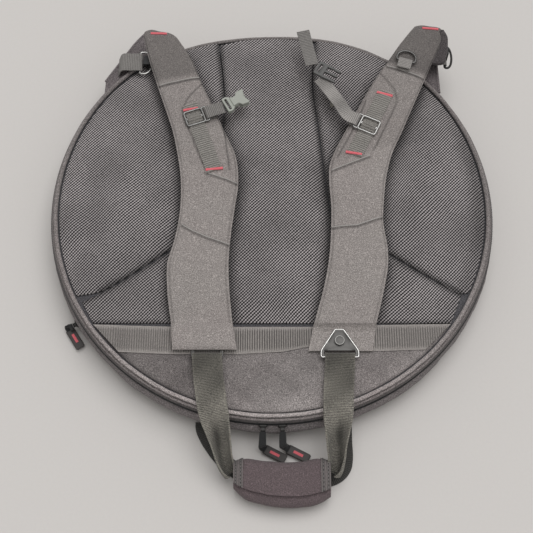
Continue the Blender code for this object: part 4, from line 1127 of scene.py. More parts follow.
def low_mesh(side, near, far, seed):
    """A thin sheet of mesh between two lines, its middle lifted a little."""
    steps = shares(low_mesh_fine, gathered)
    left = (near[0], far[0])
    right = (near[-1], far[-1])
    plan = patch(*(plan_line(line, low_mesh_fine) for line in (near, far, left, right)), steps, steps)
    uneven = ripple(plan[..., 0] + plan[..., 1], 0.12, 0.4, seed)
    top = with_height(plan, low_mesh_top + low_mesh_rise * dome(low_mesh_fine) ** 0.35 * (1 + uneven))
    bottom = with_height(plan, pad_low)
    # Painted shade: the straps' contact shadow and shade along the seams at both its lines.
    dark = np.maximum(0.60 * bell(from_straps(plan), 0.0075), 0.62 * bell(apart(plan, far), 0.0050))
    dark = np.maximum(dark, 0.50 * bell(apart(plan, near), 0.0040))
    piece(side + "_low_mesh", cushion_skin(sunk(top), sunk(bottom)), "lid", mesh_look,
          (side + "_lower_mesh",), crease=60, dark=np.stack([dark, 0 * dark]))


low_mesh("left", [(-0.2285, -0.1655), (-0.1500, -0.1655), (-0.0845, -0.1655)],
         [(-0.2440, -0.1370), (-0.2215, -0.1245), (-0.1931, -0.1075), (-0.1562, -0.0819),
          (-0.1278, -0.0620), (-0.0845, -0.0374)], 21)
low_mesh("right", [(0.0815, -0.1655), (0.1500, -0.1655), (0.2285, -0.1655)],
         [(0.0815, -0.0374), (0.1534, -0.0706), (0.1874, -0.0933), (0.2102, -0.1075), (0.2442, -0.1274)],
         23)

panel_count = 72
panel_top = 0.0555
panel_rise = 0.0020
panel_near = rim_line(radians(217), radians(323), panel_count)
panel_far = plan_line([panel_near[0], (-0.15, -0.1701), (0.0, -0.1701), (0.15, -0.1701), panel_near[-1]],
                      panel_count)
plan = panel_near[None] + (panel_far - panel_near)[None] * shares(panel_count, gathered)[:, None, None]
folds = ripple(plan[..., 0] - 0.9 * plan[..., 1], 0.120, 0.0010, 31, 3) + ripple(
    plan[..., 0] + 1.4 * plan[..., 1], 0.070, 0.0006, 33, 3)
clear = 0.15 + 0.85 * smoothly(0.0, 0.0260, -0.2050 - plan[..., 1])
rise = dome(panel_count) ** 0.4 * clear * np.maximum(panel_rise + folds, 0.0)
top = with_height(plan, panel_top + rise)
off_rim = apart(plan, panel_near)
# Painted shade on the lower panel: in its fold troughs, along its seam at the rim, towards the left where
# the handle leg's shadow falls, and everywhere but a painted pool of light near the rim's middle.
dark = 0.15 * smoothly(0.0008, -0.0018, folds) + 0.25 * bell(off_rim, 0.0025)
dark += 0.24 * smoothly(0.0300, -0.1300, plan[..., 0])
dark += 0.27 * (1 - bell(off_rim, 0.0200) * bell(plan[..., 0] - 0.0100, 0.1500))
skin = cushion_skin(top, with_height(plan, pad_low))
lower_cloth = piece("lower_cloth_panel", skin, "lid", panel_look, ("lower_panel",),
                    crease=60, dark=np.stack([dark, 0 * dark]))

belt_rows = 24
belt_columns = 900
belt_low = 0.0565
belt_top = 0.0573
rib_pitch = 0.0030
rib_height = 0.0014
near_line = even_line([(-0.1940, -0.2040), (-0.1300, -0.2070), (-0.04, -0.2068), (0.0130, -0.2040),
                       (0.0440, -0.1975), (0.0900, -0.1990), (0.1340, -0.2030), (0.1940, -0.2010)],
                      belt_columns)
far_line = even_line([(-0.2280, -0.1675), (-0.1300, -0.1705), (-0.04, -0.1710), (0.0420, -0.1710),
                      (0.1480, -0.1680), (0.2280, -0.1670)], belt_columns)
share = np.linspace(0, 1, belt_rows)[:, None, None]
plan = near_line[None] * (1 - share) + far_line[None] * share
edge_fade = np.minimum(1.0, 6 * np.minimum(share, 1 - share))[..., 0]
x = plan[..., 0]
ribs = 0.5 + 0.5 * np.sin(2 * pi * (x + ripple(x, 0.09, 0.0004, 37)) / rib_pitch)
top = with_height(plan, belt_top + rib_height * ribs * edge_fade + ripple(x, 0.11, 0.0002, 35))
# Painted shade in the troughs between the ribs.
dark = 0.84 * (1 - ribs) ** 1.6 * edge_fade
piece("ribbed_belt", cushion_skin(top, with_height(plan, belt_low)), "lid", belt_look,
      ("back_belt",), dark=np.stack([dark, 0 * dark]))

# Shoulder straps
strap_rows = 330
strap_columns = 60
strap_gathered = 0.35
strap_swell = 0.0036
edge_drop = 0.0030
edge_welts = (0.045, 0.955)
welt_height = 0.0007
crease_depth = 0.0008
strap_threads = {
    "left": [[(-0.1176, -0.0361), (-0.1028, -0.0458), (-0.0848, -0.0541), (-0.0557, -0.0637)],
             [(-0.1545, 0.1735), (-0.1300, 0.1793), (-0.1000, 0.1868)],
             [(-0.0890, 0.0390), (-0.0640, 0.0300), (-0.0460, 0.0234)]],
    "right": [[(0.0784, -0.0395), (0.1114, -0.0371), (0.1436, -0.0249)],
              [(0.1600, 0.2040), (0.2085, 0.1855)],
              [(0.0799, 0.0426), (0.1047, 0.0529), (0.1311, 0.0633)]]}
strap_grooves = {
    "left": [[(-0.0955, 0.1769), (-0.1149, 0.1525), (-0.1215, 0.1336), (-0.1213, 0.1281),
              (-0.0890, 0.0426)],
             [(-0.0720, 0.1330), (-0.0640, 0.1000), (-0.0560, 0.0420)]],
    "right": [[(0.1507, 0.1917), (0.1680, 0.1668), (0.1718, 0.1485), (0.1597, 0.1215), (0.1359, 0.0703)],
              [(0.1290, 0.1500), (0.1130, 0.1100), (0.0880, 0.0620)]]}
strap_tones = {
    "left": ((-0.1510, 0.1743, 0.24, 0.36), (-0.0890, 0.0400, -0.36, 0.10)),
    "right": ((0.1600, 0.2040, -0.38, 0.40), (0.0799, 0.0426, 0.40, 0.14))}


def strap_top(y):
    """Height of the straps' top at a place along Y, as in their solids."""
    return end_top + np.interp(y, strap_rise_places, strap_rises)


strap_tops = {}
for side, lines in strap_lines.items():
    along = shares(strap_rows, strap_gathered)
    across = shares(strap_columns, gathered)
    ends = [through(lines[name], strap_columns, gathered) for name in ("near", "far")]
    edges = [through(lines[name], strap_rows, strap_gathered) for name in ("left", "right")]
    plan = patch(ends[0], ends[1], edges[0], edges[1], along, across)
    seed = 41 if side == "left" else 47
    crown = strap_top(plan[..., 1])
    fold = smoothly(0.90, 1.0, along)[:, None] * 0.0012
    top = with_height(plan, crown - edge_drop - fold)
    bottom = with_height(plan, crown - strap_thickness)
    rise = swell(top, bottom, strap_swell, (70, 14), 0.6)
    s = across[None]
    welts = welt_height * sum(bell(s - place, 0.012) for place in edge_welts)
    uneven = ripple(plan[..., 1] + 0.3 * plan[..., 0], 0.15, 0.0004, seed) + ripple(
        plan[..., 1] * 0.4 - plan[..., 0], 0.05, 0.0002, seed + 1)
    near_end = (1 - smoothly(0.0, 0.05, along))[:, None]
    held = edge_drop * near_end * (1 - np.exp(-np.minimum(s, 1 - s) / 0.03))
    creases = 0 * crown
    # Painted shade along the edge welts, in the creases beside the seam threads and grooves, and in the
    # dips of the uneven top.
    dark = 0.30 * sum(bell(s - place, 0.016) for place in edge_welts) + 0 * crown
    for line in strap_threads[side]:
        creases = np.maximum(creases, bell(apart(plan + (0.0, 0.0022), line), 0.0018))
    for line in strap_grooves[side]:
        creases = np.maximum(creases, 0.95 * bell(apart(plan, line), 0.0011))
    for x, y, slope, tone in strap_tones[side]:
        dark += tone * smoothly(0.0, 0.011, plan[..., 1] - y - slope * (plan[..., 0] - x))
    dark += 0.55 * creases + 60 * np.maximum(-uneven, 0.0)
    top[..., 2] += np.maximum(rise, held) + uneven - welts - crease_depth * creases
    strap_tops[side] = top
    under = bottom.copy()
    inset = (plan.mean(axis=1, keepdims=True) - plan) * 0.03
    under[..., :2] += inset
    # The strap's underside is darkened by half as painted shade.
    made = piece(side + "_padded_strap", cushion_skin(top, under), side + "_strap",
                 strap_look, (side + "_strap",), crease=75, dark=np.stack([dark, 0 * dark + 0.5]))


def draped(places, side, lift):
    """Plan places laid on a strap's top.

    Each takes the heights of the four nearest places there, weighted by 1/distance^2.
    """
    ground = strap_tops[side][::2, ::2].reshape(-1, 3)
    flat = places.reshape(-1, 2)
    squares = ((flat[:, None] - ground[None, :, :2]) ** 2).sum(-1)
    near = np.argpartition(squares, 4, axis=1)[:, :4]
    weight = 1 / (np.take_along_axis(squares, near, axis=1) + tiny)
    height = (ground[near, 2] * weight).sum(1) / weight.sum(1)
    return with_height(places, height.reshape(places.shape[:-1]) + lift)


def laid_band(name, line, width, thickness, side, lift, look, stands_for=(), steps=60,
              rib=None, columns=8):
    """A flat band along a plan line, draped on a strap; ribs lift it in waves across its length, with
    painted shade in the troughs between them.
    """
    middle = even_line(line, steps)
    ahead = unit(np.gradient(middle, axis=0))
    square = np.stack([ahead[:, 1], -ahead[:, 0]], -1)
    spread = np.linspace(-0.5, 0.5, columns)
    plan = middle[:, None] + square[:, None] * spread[None, :, None] * width
    low = draped(plan, side, lift)
    top = low.copy()
    top[..., 2] += thickness * (1 - 0.5 * (2 * spread[None]) ** 6)
    dark = 0 * top[..., 2]
    if rib:
        crests = (0.5 + 0.5 * np.sin(2 * pi * lengths(middle, False) / rib[0]))[:, None]
        top[..., 2] += rib[1] * crests
        # Painted shade in the troughs between the ribs.
        dark += 0.62 * (1 - crests) ** 2
    low[..., 2] -= 0.0008
    piece(name, cushion_skin(top, low), side + "_strap", look, stands_for,
          dark=np.stack([dark, dark]))


ladder_width = 0.0215
ladder_thickness = 0.0011
ladder_lift = 0.0004
ladder_pitch = 0.0031
ladder_rib = 0.0010
bartack_width = 0.0034
bartack_height = 0.0012
thread_width = 0.0013
thread_height = 0.0007
ladder_lines = {
    "left": ((-0.1120, 0.1420), (-0.0760, 0.0400)),
    "right": ((0.1571, 0.1620), (0.1100, 0.0640))}
for side, line in ladder_lines.items():
    laid_band(side + "_ladder_webbing", line, ladder_width, ladder_thickness, side, ladder_lift,
              ladder_look, stands_for=(side + "_ladder",), steps=300, rib=(ladder_pitch, ladder_rib))
for name, side, line in (
        ("left_fold_bartack", "left", ((-0.1693, 0.2560), (-0.1469, 0.2560))),
        ("right_fold_bartack", "right", ((0.2120, 0.2655), (0.2345, 0.2640))),
        ("left_top_bartack", "left", ((-0.1202, 0.1321), (-0.1004, 0.1362))),
        ("left_low_bartack", "left", ((-0.0878, 0.0412), (-0.0650, 0.0437))),
        ("right_top_bartack", "right", ((0.1441, 0.1612), (0.1651, 0.1541))),
        ("right_low_bartack", "right", ((0.0990, 0.0686), (0.1203, 0.0642)))):
    lift = 0.0003 if "fold" in name else 0.0016
    laid_band(name, line, bartack_width, bartack_height, side, lift, red_look, steps=30,
              columns=6)

for side, threads in strap_threads.items():
    for number, line in enumerate(threads):
        laid_band(f"{side}_seam_thread_{number + 1}", line, thread_width, thread_height, side, 0.0002,
                  thread_look, steps=50, columns=5)

# The right strap's end is folded under; the fold shows beside its edge
fold_swell = 0.0030
fold_top_drop = 0.0055
fold_low_drop = 0.0085
outer_line = through([(0.2290, 0.2085), (0.2385, 0.2100), (0.2450, 0.2260), (0.2468, 0.2400),
                      (0.2468, 0.2536), (0.2425, 0.2635)], 60)
inner_line = through([(0.2215, 0.2100), (0.2260, 0.2190), (0.2320, 0.2310), (0.2350, 0.2400),
                      (0.2370, 0.2500), (0.2350, 0.2600)], 60)
s = np.linspace(0, 1, 14)[None, :, None]
plan = inner_line[:, None] + (outer_line - inner_line)[:, None] * s
crown = strap_top(plan[..., 1])
swollen = fold_swell * (1 - (2 * s[..., 0] - 1) ** 2) ** 0.5
fold_skin = cushion_skin(with_height(plan, crown - fold_top_drop + swollen),
                         with_height(plan, crown - fold_low_drop))
# Painted shade: the folded end is darkened all over, as it lies in the shade under the strap.
fold_piece = piece("right_folded_end", fold_skin, "right_strap", gusset_look, crease=70,
                   dark=np.full(len(fold_skin[0]), 0.58))

# Sewn near ends of the straps
sewn_near = -0.2042
sewn_far = -0.1700
for side, near, far, steps, tops, lows in (
        ("left", (-0.1255, -0.0445), (-0.1285, -0.0495), (0.0, 0.10, 0.78, 1.0),
         (0.0668, 0.0690, 0.0699, 0.0700), (0.0644, 0.0644, 0.0600)),
        ("right", (0.0455, 0.1265), (0.0525, 0.1325), (0.0, 0.75, 0.90, 1.0),
         (0.0612, 0.0616, 0.0650, 0.0700), (0.0587, 0.0587, 0.0587))):
    s = shares(40, gathered)
    along = np.linspace(0, 1, 60)
    y = sewn_near + (sewn_far - sewn_near) * along
    left = near[0] + (far[0] - near[0]) * along
    right = near[1] + (far[1] - near[1]) * along
    x = left[:, None] + (right - left)[:, None] * s[None]
    plan = np.stack(np.broadcast_arrays(x, y[:, None]), -1)
    height = np.interp(along, steps, tops)[:, None]
    edge = (1 - np.exp(-np.minimum(s, 1 - s) / 0.03))[None]
    low = np.interp(along, (0.0, 0.75, 0.88), lows)[:, None]
    top = with_height(plan, low + (height - low) * (0.55 + 0.45 * edge))
    bottom = with_height(plan, np.broadcast_to(low, plan.shape[:2]))
    made = piece(side + "_sewn_end", cushion_skin(top, bottom), "lid", strap_look,
                 (side + "_strap_end",), crease=60)

# Plates of the handle and the rivet
plate_corners = [(0.0, -0.1765), (0.0052, -0.1765), (0.0235, -0.2048), (0.0235, -0.2130),
                 (-0.0235, -0.2130), (-0.0235, -0.2048), (-0.0052, -0.1765)]
slot_corners = [(0.0, -0.2042), (0.0196, -0.2042), (0.0196, -0.2098), (-0.0196, -0.2098),
                (-0.0196, -0.2042)]
plate_outline = eased(plate_corners, 0.0020, 160)
slot_outline = eased(slot_corners, 0.0012, 160)
plate_steps = (0.00, 0.02, 0.06, 0.10, 0.16, 0.84, 0.92, 1.0, 1.0, 0.5, 0.06, 0.0)
plate_heights = (0.0631, 0.0638, 0.0640, 0.0636, 0.0629, 0.0629, 0.0634, 0.0630, 0.0621, 0.0620, 0.0620,
                 0.0624)
plate_rim_height = 0.0636
plate_rim_radius = 0.0009
left_plate = -0.0815
right_plate = 0.0850
# The left plate's wire, under the strap's sewn end, is drawn in dark steel as painted shade; the right one
# is polished.
for side, middle, narrow, wire_look in (
        ("left", left_plate, 0.82, dark_steel_look), ("right", right_plate, 1.0, polished_look)):
    outer = plate_outline * (narrow, 1.0) + (middle, 0.0)
    inner = slot_outline * (narrow, 1.0) + (middle, 0.0)
    plate = between(outer, inner, plate_steps, plate_heights)
    wire = second_look(loop_wire(with_height(outer, plate_rim_height), plate_rim_radius, 8))
    piece(side + "_steel_plate", joined(plate, wire), "lid", [plate_look, wire_look],
          (side + "_plate",), crease=50)
rivet_place = (right_plate, -0.1915, 0.0)
rivet_rim_radius = 0.0056
rivet_rim_height = 0.0657
rivet_rim = turned(with_height(round_section(rivet_rim_radius, 64), rivet_rim_height), 0.0, rivet_place)
rivet_rim = second_look(loop_wire(rivet_rim, 0.0007, 8))
rivet_head = lathed(rivet_place, (0.0, 0.0040, 0.0050, 0.0060, 0.0062, 0.0062, 0.0),
                    (0.0658, 0.0656, 0.0653, 0.0655, 0.0652, 0.0643, 0.0643))
piece("domed_rivet", joined(rivet_head, rivet_rim), "lid", [plate_look, polished_look], ("rivet",),
      crease=40, weld=tiny * 10)


def webbing_run(path, side, width, thickness, share=1.0, steps=120, cup=True):
    """Webbing along a smooth path; where it narrows it bends into an arc that keeps its width of cloth."""
    path = np.asarray(path, float)
    far = lengths(path, False)
    line = through(path, steps)
    at = lengths(line, False) * far[-1] / lengths(line, False)[-1]
    side = read_rows(at, far, np.broadcast_to(side, path.shape))
    share = np.interp(at, far, np.broadcast_to(share, len(path)))
    section = cupped_section(width, thickness, share)
    if not cup:
        section = strip_section(width * share, np.broadcast_to(thickness, steps))
    return strand(line, side, section, along=lengths(line, False))


# Back carry handle: two legs of webbing looped in the plates, and a wrap-round grip
leg_places = (-0.2330, -0.2470, -0.2620, -0.2780, -0.2910, -0.3040, -0.3170, -0.3320, -0.3440, -0.3510)
leg_heights = (0.0650, 0.0651, 0.0650, 0.0645, 0.0610, 0.0550, 0.0460, 0.0340, 0.0250, 0.0200)
leg_middles = {
    "left": (-0.0800, -0.0785, -0.0760, -0.0735, -0.0705, -0.0668, -0.0636, -0.0608, -0.0570, -0.0520),
    "right": (0.0840, 0.0830, 0.0820, 0.0815, 0.0808, 0.0802, 0.0800, 0.0808, 0.0800, 0.0775)}
leg_shares = (1.0, 0.999, 0.999, 0.99, 0.93, 0.78, 0.64, 0.53, 0.46, 0.44)
leg_turns = (0.0, 0.0, 0.0, 0.0, 0.0, 0.05, 0.15, 0.40, 0.90, 1.45)
leg_width = 0.0375
leg_thickness = 0.0019
leg_steps = 160
leg_loop = 0.0031
leg_tuck = 0.0120
bar_place = (-0.2114, 0.0630)
for side, start, mirror in (("left", left_plate, 1), ("right", right_plate, -1)):
    turn = np.linspace(-pi / 2, pi / 2, 7)
    loop = np.stack([start + 0 * turn, bar_place[0] + leg_loop * np.cos(turn),
                     bar_place[1] + leg_loop * np.sin(turn)], -1)
    under = [(start, bar_place[0] - leg_tuck, bar_place[1] - leg_loop)]
    run = np.stack([leg_middles[side], leg_places, leg_heights], -1)
    path = np.concatenate([under, loop, run])
    level = len(under) + len(loop)
    turns = mirror * np.concatenate([np.zeros(level), leg_turns])
    across = np.stack([np.cos(turns), np.sin(turns), 0 * turns], -1)
    share = np.concatenate([np.ones(level), leg_shares])
    leg = webbing_run(path, across, leg_width, leg_thickness, share, leg_steps)
    run = np.linspace(0, 1, leg_steps)[:, None]
    spread = np.concatenate([np.linspace(-1, 1, cup_steps), np.linspace(1, -1, cup_steps)])[None]
    # Painted shade in the legs' folds and along their cupped edges; they are also darker towards the
    # plates.
    dark = 0.42 * (1 - smoothly(0.24, 0.44, run)) + 0.22 * (1 - bell(np.abs(spread) - 1, 0.10))
    dark = dark + 0.50 * bell(spread + 0.2 * mirror, 0.28) * smoothly(0.50, 0.70, run)
    dark = dark + 0.16 * np.sin(2 * pi * (3.1 * run + 0.22 * spread)) * np.sin(pi * run)
    ends = np.array([dark[0].mean(), dark[-1].mean()])
    piece(side + "_webbing_leg", leg, "handle", webbing_look, (side + "_handle_leg",), crease=60,
          dark=np.concatenate([dark.ravel(), ends]))

grip_ends = (-0.0480, 0.0720)
grip_edges = through([(-1.0, -0.3415, -0.3690), (-0.8, -0.3365, -0.3800), (-0.4, -0.3390, -0.3885),
                      (0.0, -0.3408, -0.3920), (0.4, -0.3400, -0.3920), (0.8, -0.3365, -0.3865),
                      (1.0, -0.3410, -0.3790)], 200)
grip_half_height = 0.0128
corner_power = 2.6


def grip_rows(along, turn, outward):
    """Rows round the grip: a squarish ring between its two plan edges, moved outward from the core."""
    spot = 2 * along - 1
    far = np.interp(spot, grip_edges[:, 0], grip_edges[:, 1])[:, None]
    near = np.interp(spot, grip_edges[:, 0], grip_edges[:, 2])[:, None]
    x = (grip_ends[0] + (grip_ends[1] - grip_ends[0]) * along)[:, None]
    powers = np.abs(np.cos(turn)) ** corner_power + np.abs(np.sin(turn)) ** corner_power
    ring = powers ** (-1 / corner_power)
    high = grip_half_height * (1 - 0.12 * np.abs(spot) ** 6)[:, None] + outward
    return np.stack(np.broadcast_arrays(
        x, (far + near) / 2 + ((far - near) / 2 + outward) * ring * np.cos(turn),
        grip_height + high * ring * np.sin(turn)), -1)


def grip_layer(along, turn, outer, inner):
    """A layer round the grip between two distances out from its core."""
    return cushion_skin(grip_rows(along, turn, outer), grip_rows(along, turn, inner))


along = shares(90, 0.5)
turn = circle(64)
lumps = ripple(along, 0.55, 0.00012, 61)[:, None] + ripple(turn, 2.1, 0.00010, 62)[None]
skin = surface(grip_rows(along, turn, lumps), round_columns=True, capped=True)
grip_core = piece("padded_grip", skin, "handle", grip_look, ("grip",), crease=70)

leaf_steps = 48
leaf_low = 0.0006
leaf_high = 0.0036
binding_layer = (0.0054, 0.0034)
stitch_layer = (0.0058, 0.0050)
stitch_half = 0.004
leaf_turn = np.linspace(radians(2), radians(118), leaf_steps)
bulge = leaf_high + ripple(along, 0.5, 0.00015, 63)[:, None] + 0.0005 * np.sin(pi * along)[:, None]
# Painted shadow line along the leaf's first edge.
edge_shadow = np.broadcast_to(0.75 * bell(leaf_turn - leaf_turn[0], radians(5)), (len(along), leaf_steps))
leaf = piece("grip_leaf", grip_layer(along, leaf_turn, bulge, leaf_low), "grip_flap",
             grip_look, ("grip_flap",), crease=70, dark=np.stack([edge_shadow, edge_shadow]))
for name, first, last in (("left_grip", 0.0, 0.100), ("right_grip", 0.900, 1.0)):
    span = np.linspace(first, last, 20)
    band = grip_layer(span, leaf_turn, *binding_layer)
    piece(name + "_binding", band, "grip_flap", binding_look, crease=60)
    for number, middle in enumerate((0.75 * first + 0.25 * last, 0.25 * first + 0.75 * last)):
        span = np.linspace(middle - stitch_half, middle + stitch_half, 4)
        stitches = grip_layer(span, leaf_turn, *stitch_layer)
        dashes = np.broadcast_to(np.where(np.arange(leaf_steps) % 4 < 2, 0.0, 0.9), (4, leaf_steps))
        piece(f"{name}_stitches_{number + 1}", stitches, "grip_flap", grey_thread_look,
              dark=np.stack([dashes, dashes]))

# Front carry handle, lying on the floor
corner = 0.0280
bend = -0.3300
reach = -0.3540
right_side = 0.0920
foot = -0.2811
front_width = 0.0200
front_thickness = 0.0018
left_sweep = [(-0.0880, foot), (-0.0880, -0.2866), (-0.0825, -0.3010), (-0.0735, -0.3150),
              (-0.0630, -0.3280), (-0.0500, -0.3400), (-0.0340, -0.3490), (-0.0160, -0.3535)]
turn = np.linspace(1.5 * pi, 2 * pi, 6)
right_bend = np.stack([right_side - corner * (1 - np.cos(turn)), bend + (bend - reach) * np.sin(turn)], -1)
path = np.concatenate([left_sweep, right_bend, [(right_side, -0.3050), (right_side, foot)]])
line = through(with_height(path, 0.0015), 180)
ahead = unit(np.gradient(line, axis=0))
side = np.stack([ahead[:, 1], -ahead[:, 0], 0 * ahead[:, 0]], -1)
section = strip_section(front_width, front_thickness)
piece("front_webbing", strand(line, side, section), "front_handle", dark_webbing_look,
      ("front_handle",), crease=60)

# Anchor wings with their tabs and rings
wing_low = 0.0502
wing_top = 0.0528
cord_height = 0.0522
cord_radius = 0.0022
inner_radius = 0.2800
for side, corners, near_arc in (
        ("left", [(-0.1420, 0.2741), (-0.1818, 0.2797), (-0.2087, 0.2357), (-0.2329, 0.1960)],
         (radians(117), radians(147))),
        ("right", [(0.1860, 0.2440), (0.2200, 0.2520), (0.2330, 0.2320), (0.2345, 0.1780)],
         (radians(53), radians(37)))):
    outer_line = even_line(corners, 60)
    inner_line = rim(inner_radius, np.linspace(*near_arc, 60))
    share = np.linspace(0, 1, 20)[None, :, None]
    plan = outer_line[:, None] + (inner_line - outer_line)[:, None] * share
    top = with_height(plan, wing_top + 0.0012 * np.exp(-share[..., 0] / 0.08))
    cloth = cushion_skin(sunk(top), sunk(with_height(plan, wing_low)))
    bound = sunk(with_height(outer_line, cord_height))
    cord = strand(bound, (0.0, 0.0, 1.0), round_section(cord_radius, 10))
    piece(side + "_bound_wing", joined(cloth, cord), "lid", gusset_look, (side + "_wing",))


tab_loop = 0.0026
tab_thickness = 0.0014


def ring_line(width, depth):
    """A D-ring's middle line: a straight bar with eased corners and a round bow towards +Y."""
    half = width / 2
    turn = np.linspace(0, pi, 25)
    bow = np.stack([half * np.cos(turn), depth * (0.35 + 0.65 * np.sin(turn))], -1)
    corners = np.concatenate([[(half - 0.0015, 0.0), (half, 0.0015)], bow,
                              [(-half, 0.0015), (0.0015 - half, 0.0)]])
    return with_height(even_line(corners, 96, closed=True), 0.0)


def folded_tab(length, width, drop):
    """Webbing folded round a bar on the X axis: its top leaf steps down, or else it has an under leaf."""
    turn = np.linspace(-pi / 2, pi / 2, 9)
    bar = np.stack([0 * turn, tab_loop * np.cos(turn), tab_loop * np.sin(turn)], -1)
    path = np.concatenate([bar, [(0.0, -length * 0.5, tab_loop), (0.0, -length, tab_loop)]])
    if drop:
        path = np.concatenate([path, [(0.0, -length - drop / 2, tab_loop - drop)]])
    else:
        path = np.concatenate([[(0.0, -length, -tab_loop)], path])
    return strand(through(path, 80), (1.0, 0.0, 0.0), strip_section(width, tab_thickness))


ring_wire = 0.0016
left_anchor = (-0.1840, 0.2180, 0.0658)
right_anchor = (0.2440, 0.2330, 0.0574)
strap_ring = (0.1850, 0.2080, 0.0868)
for name, place, turn, width, depth, holder, look in (
        ("left_wing_ring", left_anchor, -pi / 2, 0.0350, 0.0170, "left_anchor_ring", steel_look),
        # Painted shade: the right wing ring, under the strap's folded end, is drawn in black metal; the
        # left one is bright steel.
        ("right_wing_ring", right_anchor, -pi / 2, 0.0350, 0.0105, "right_anchor_ring", black_metal_look),
        ("strap_d_ring", strap_ring, radians(-17), 0.0260, 0.0160, "strap_ring", dark_steel_look)):
    wire = turned(ring_line(width, depth), turn, place)
    piece(name, loop_wire(wire, ring_wire, 12), holder, look, (holder,), crease=80)
for side, place in (("left", left_anchor), ("right", right_anchor)):
    drop = place[2] + tab_loop - wing_top - 0.0010
    tab = folded_tab(0.0240, 0.0280, drop)
    piece(side + "_wing_tab", turned_skin(tab, -pi / 2, place), "lid", chest_look,
          (side + "_anchor_tab",), crease=60)
tab = folded_tab(0.0130, 0.0190, 0.0)
piece("ring_tab", turned_skin(tab, radians(-17), strap_ring), "right_strap", pale_chest_look,
      ("strap_ring_tab",), crease=60, dark=np.full(len(tab[0]), 0.20))

# Hooks under the straps' folded ends
hook_half = 0.0070
tip_half = 0.0055
tip_reach = 0.0030
for side, place, reach, ahead in (("left", left_anchor, -0.1500, 0.0080),
                                  ("right", right_anchor, 0.2150, 0.0012)):
    low = strap_top(place[1]) - strap_thickness - 0.0020
    nose = place[0] + ahead
    start, stop = sorted((reach, nose + tip_reach * np.sign(nose - reach)))
    body = eased(box(start, stop, place[1] - hook_half, place[1] + hook_half), 0.0020, 64)
    body = block(body, low, low + 0.0015)
    tip = box(nose - tip_reach, nose + tip_reach, place[1] - tip_half, place[1] + tip_half)
    tip = eased(tip, 0.0012, 48)
    tip = block(tip, place[2] - 0.0025, low + 0.0002)
    piece(side + "_nylon_hook", joined(body, tip), side + "_strap", nylon_look, (side + "_hook",))

# Chest-strap sliders: a rounded frame with a middle bar and a side loop
slider_half = 0.0108
slider_bar_half = 0.0113
frame_wire_radius = 0.0016
frame_spread = 0.0012
loop_wire_radius = 0.0013
loop_depth = 0.0036
slider_height = 0.0035
slider_places = {}
for side, share, towards in (("left", 0.21, 1), ("right", 0.55, -1)):
    top, bottom = np.array(ladder_lines[side])
    down = unit(bottom - top)
    spot = top + (bottom - top) * share
    angle = np.arctan2(down[1], down[0]) + towards * pi / 2
    place = np.array([spot[0], spot[1], strap_top(spot[1])])
    frame_half = slider_bar_half + frame_spread
    frame_line = eased(box(-frame_half, frame_half, -slider_half, slider_half), 0.0030, 120)
    loop_out = slider_bar_half + 0.0024 + loop_depth + loop_wire_radius
    loop_line = eased(box(slider_bar_half + 0.0010, loop_out, -slider_half, slider_half), 0.0022, 100)
    frame_wire = loop_wire(with_height(frame_line, slider_height), frame_wire_radius, 10)
    loop_bar = loop_wire(with_height(loop_line, slider_height), loop_wire_radius, 10)
    middle = np.linspace((-frame_half, 0.0, slider_height), (frame_half, 0.0, slider_height), 20)
    bar = strand(middle, (0.0, 1.0, 0.0), strip_section(0.0036, 0.0010))
    skin = turned_skin(joined(frame_wire, loop_bar, bar), angle, place)
    # The left slider takes the shaded copy of the steel and the right one the lit copy.
    look = shaded_slider_look if side == "left" else lit_slider_look
    piece(side + "_strap_slider", skin, side + "_slider", look, (side + "_slider",), crease=60)
    over = np.linspace(-0.0082, 0.0082, 41)[:, None]
    reach = np.linspace(-0.0098, 0.0098, 13)[None]
    crests = np.cos(2 * pi * over / ladder_pitch)
    hump = 0.0016 + 0.0038 * bell(over, 0.0045) + 0.0006 * crests
    hump = np.stack(np.broadcast_arrays(reach, over, hump), -1)
    # Painted shade in the troughs between the webbing's ribs.
    dark = np.broadcast_to(0.25 - 0.25 * crests, hump.shape[:2])
    wrap = cushion_skin(hump, hump - (0.0, 0.0, 0.0010))
    piece(side + "_slider_wrap", turned_skin(wrap, angle, place), side + "_slider", ladder_look,
          dark=np.stack([dark, dark]))
    loop_place = place + turned((loop_out, 0.0, slider_height), angle, (0.0, 0.0, 0.0))
    slider_places[side] = (loop_place, angle, down)

# Chest webbing and its buckle
chest_width = 0.0180
chest_thickness = 0.0014
loop_radius = 0.0026
up = np.array((0.0, 0.0, 1.0))
tuck = 0.0100
arch_reach = 0.0230


def loop_over(bar, along):
    """Webbing tucked under a bar and turned half round it."""
    turn = np.linspace(-pi / 2, pi / 2, 9)[:, None]
    wrap = bar - along * loop_radius * np.cos(turn) + up * loop_radius * np.sin(turn)
    return np.concatenate([[bar + along * tuck - up * loop_radius], wrap])


bar, angle, down = slider_places["left"]
along = heading(angle)
square = np.array([down[0], down[1], 0.0])
over = [bar + along * tuck + up * (loop_radius + 0.0008), bar + along * arch_reach + up * loop_radius]
path = np.concatenate([loop_over(bar, along), over])
arch = webbing_run(path, square, chest_width, chest_thickness, steps=80, cup=False)
piece("left_chest_band", arch, "left_chest", chest_look, ("left_chest_webbing",), crease=60)

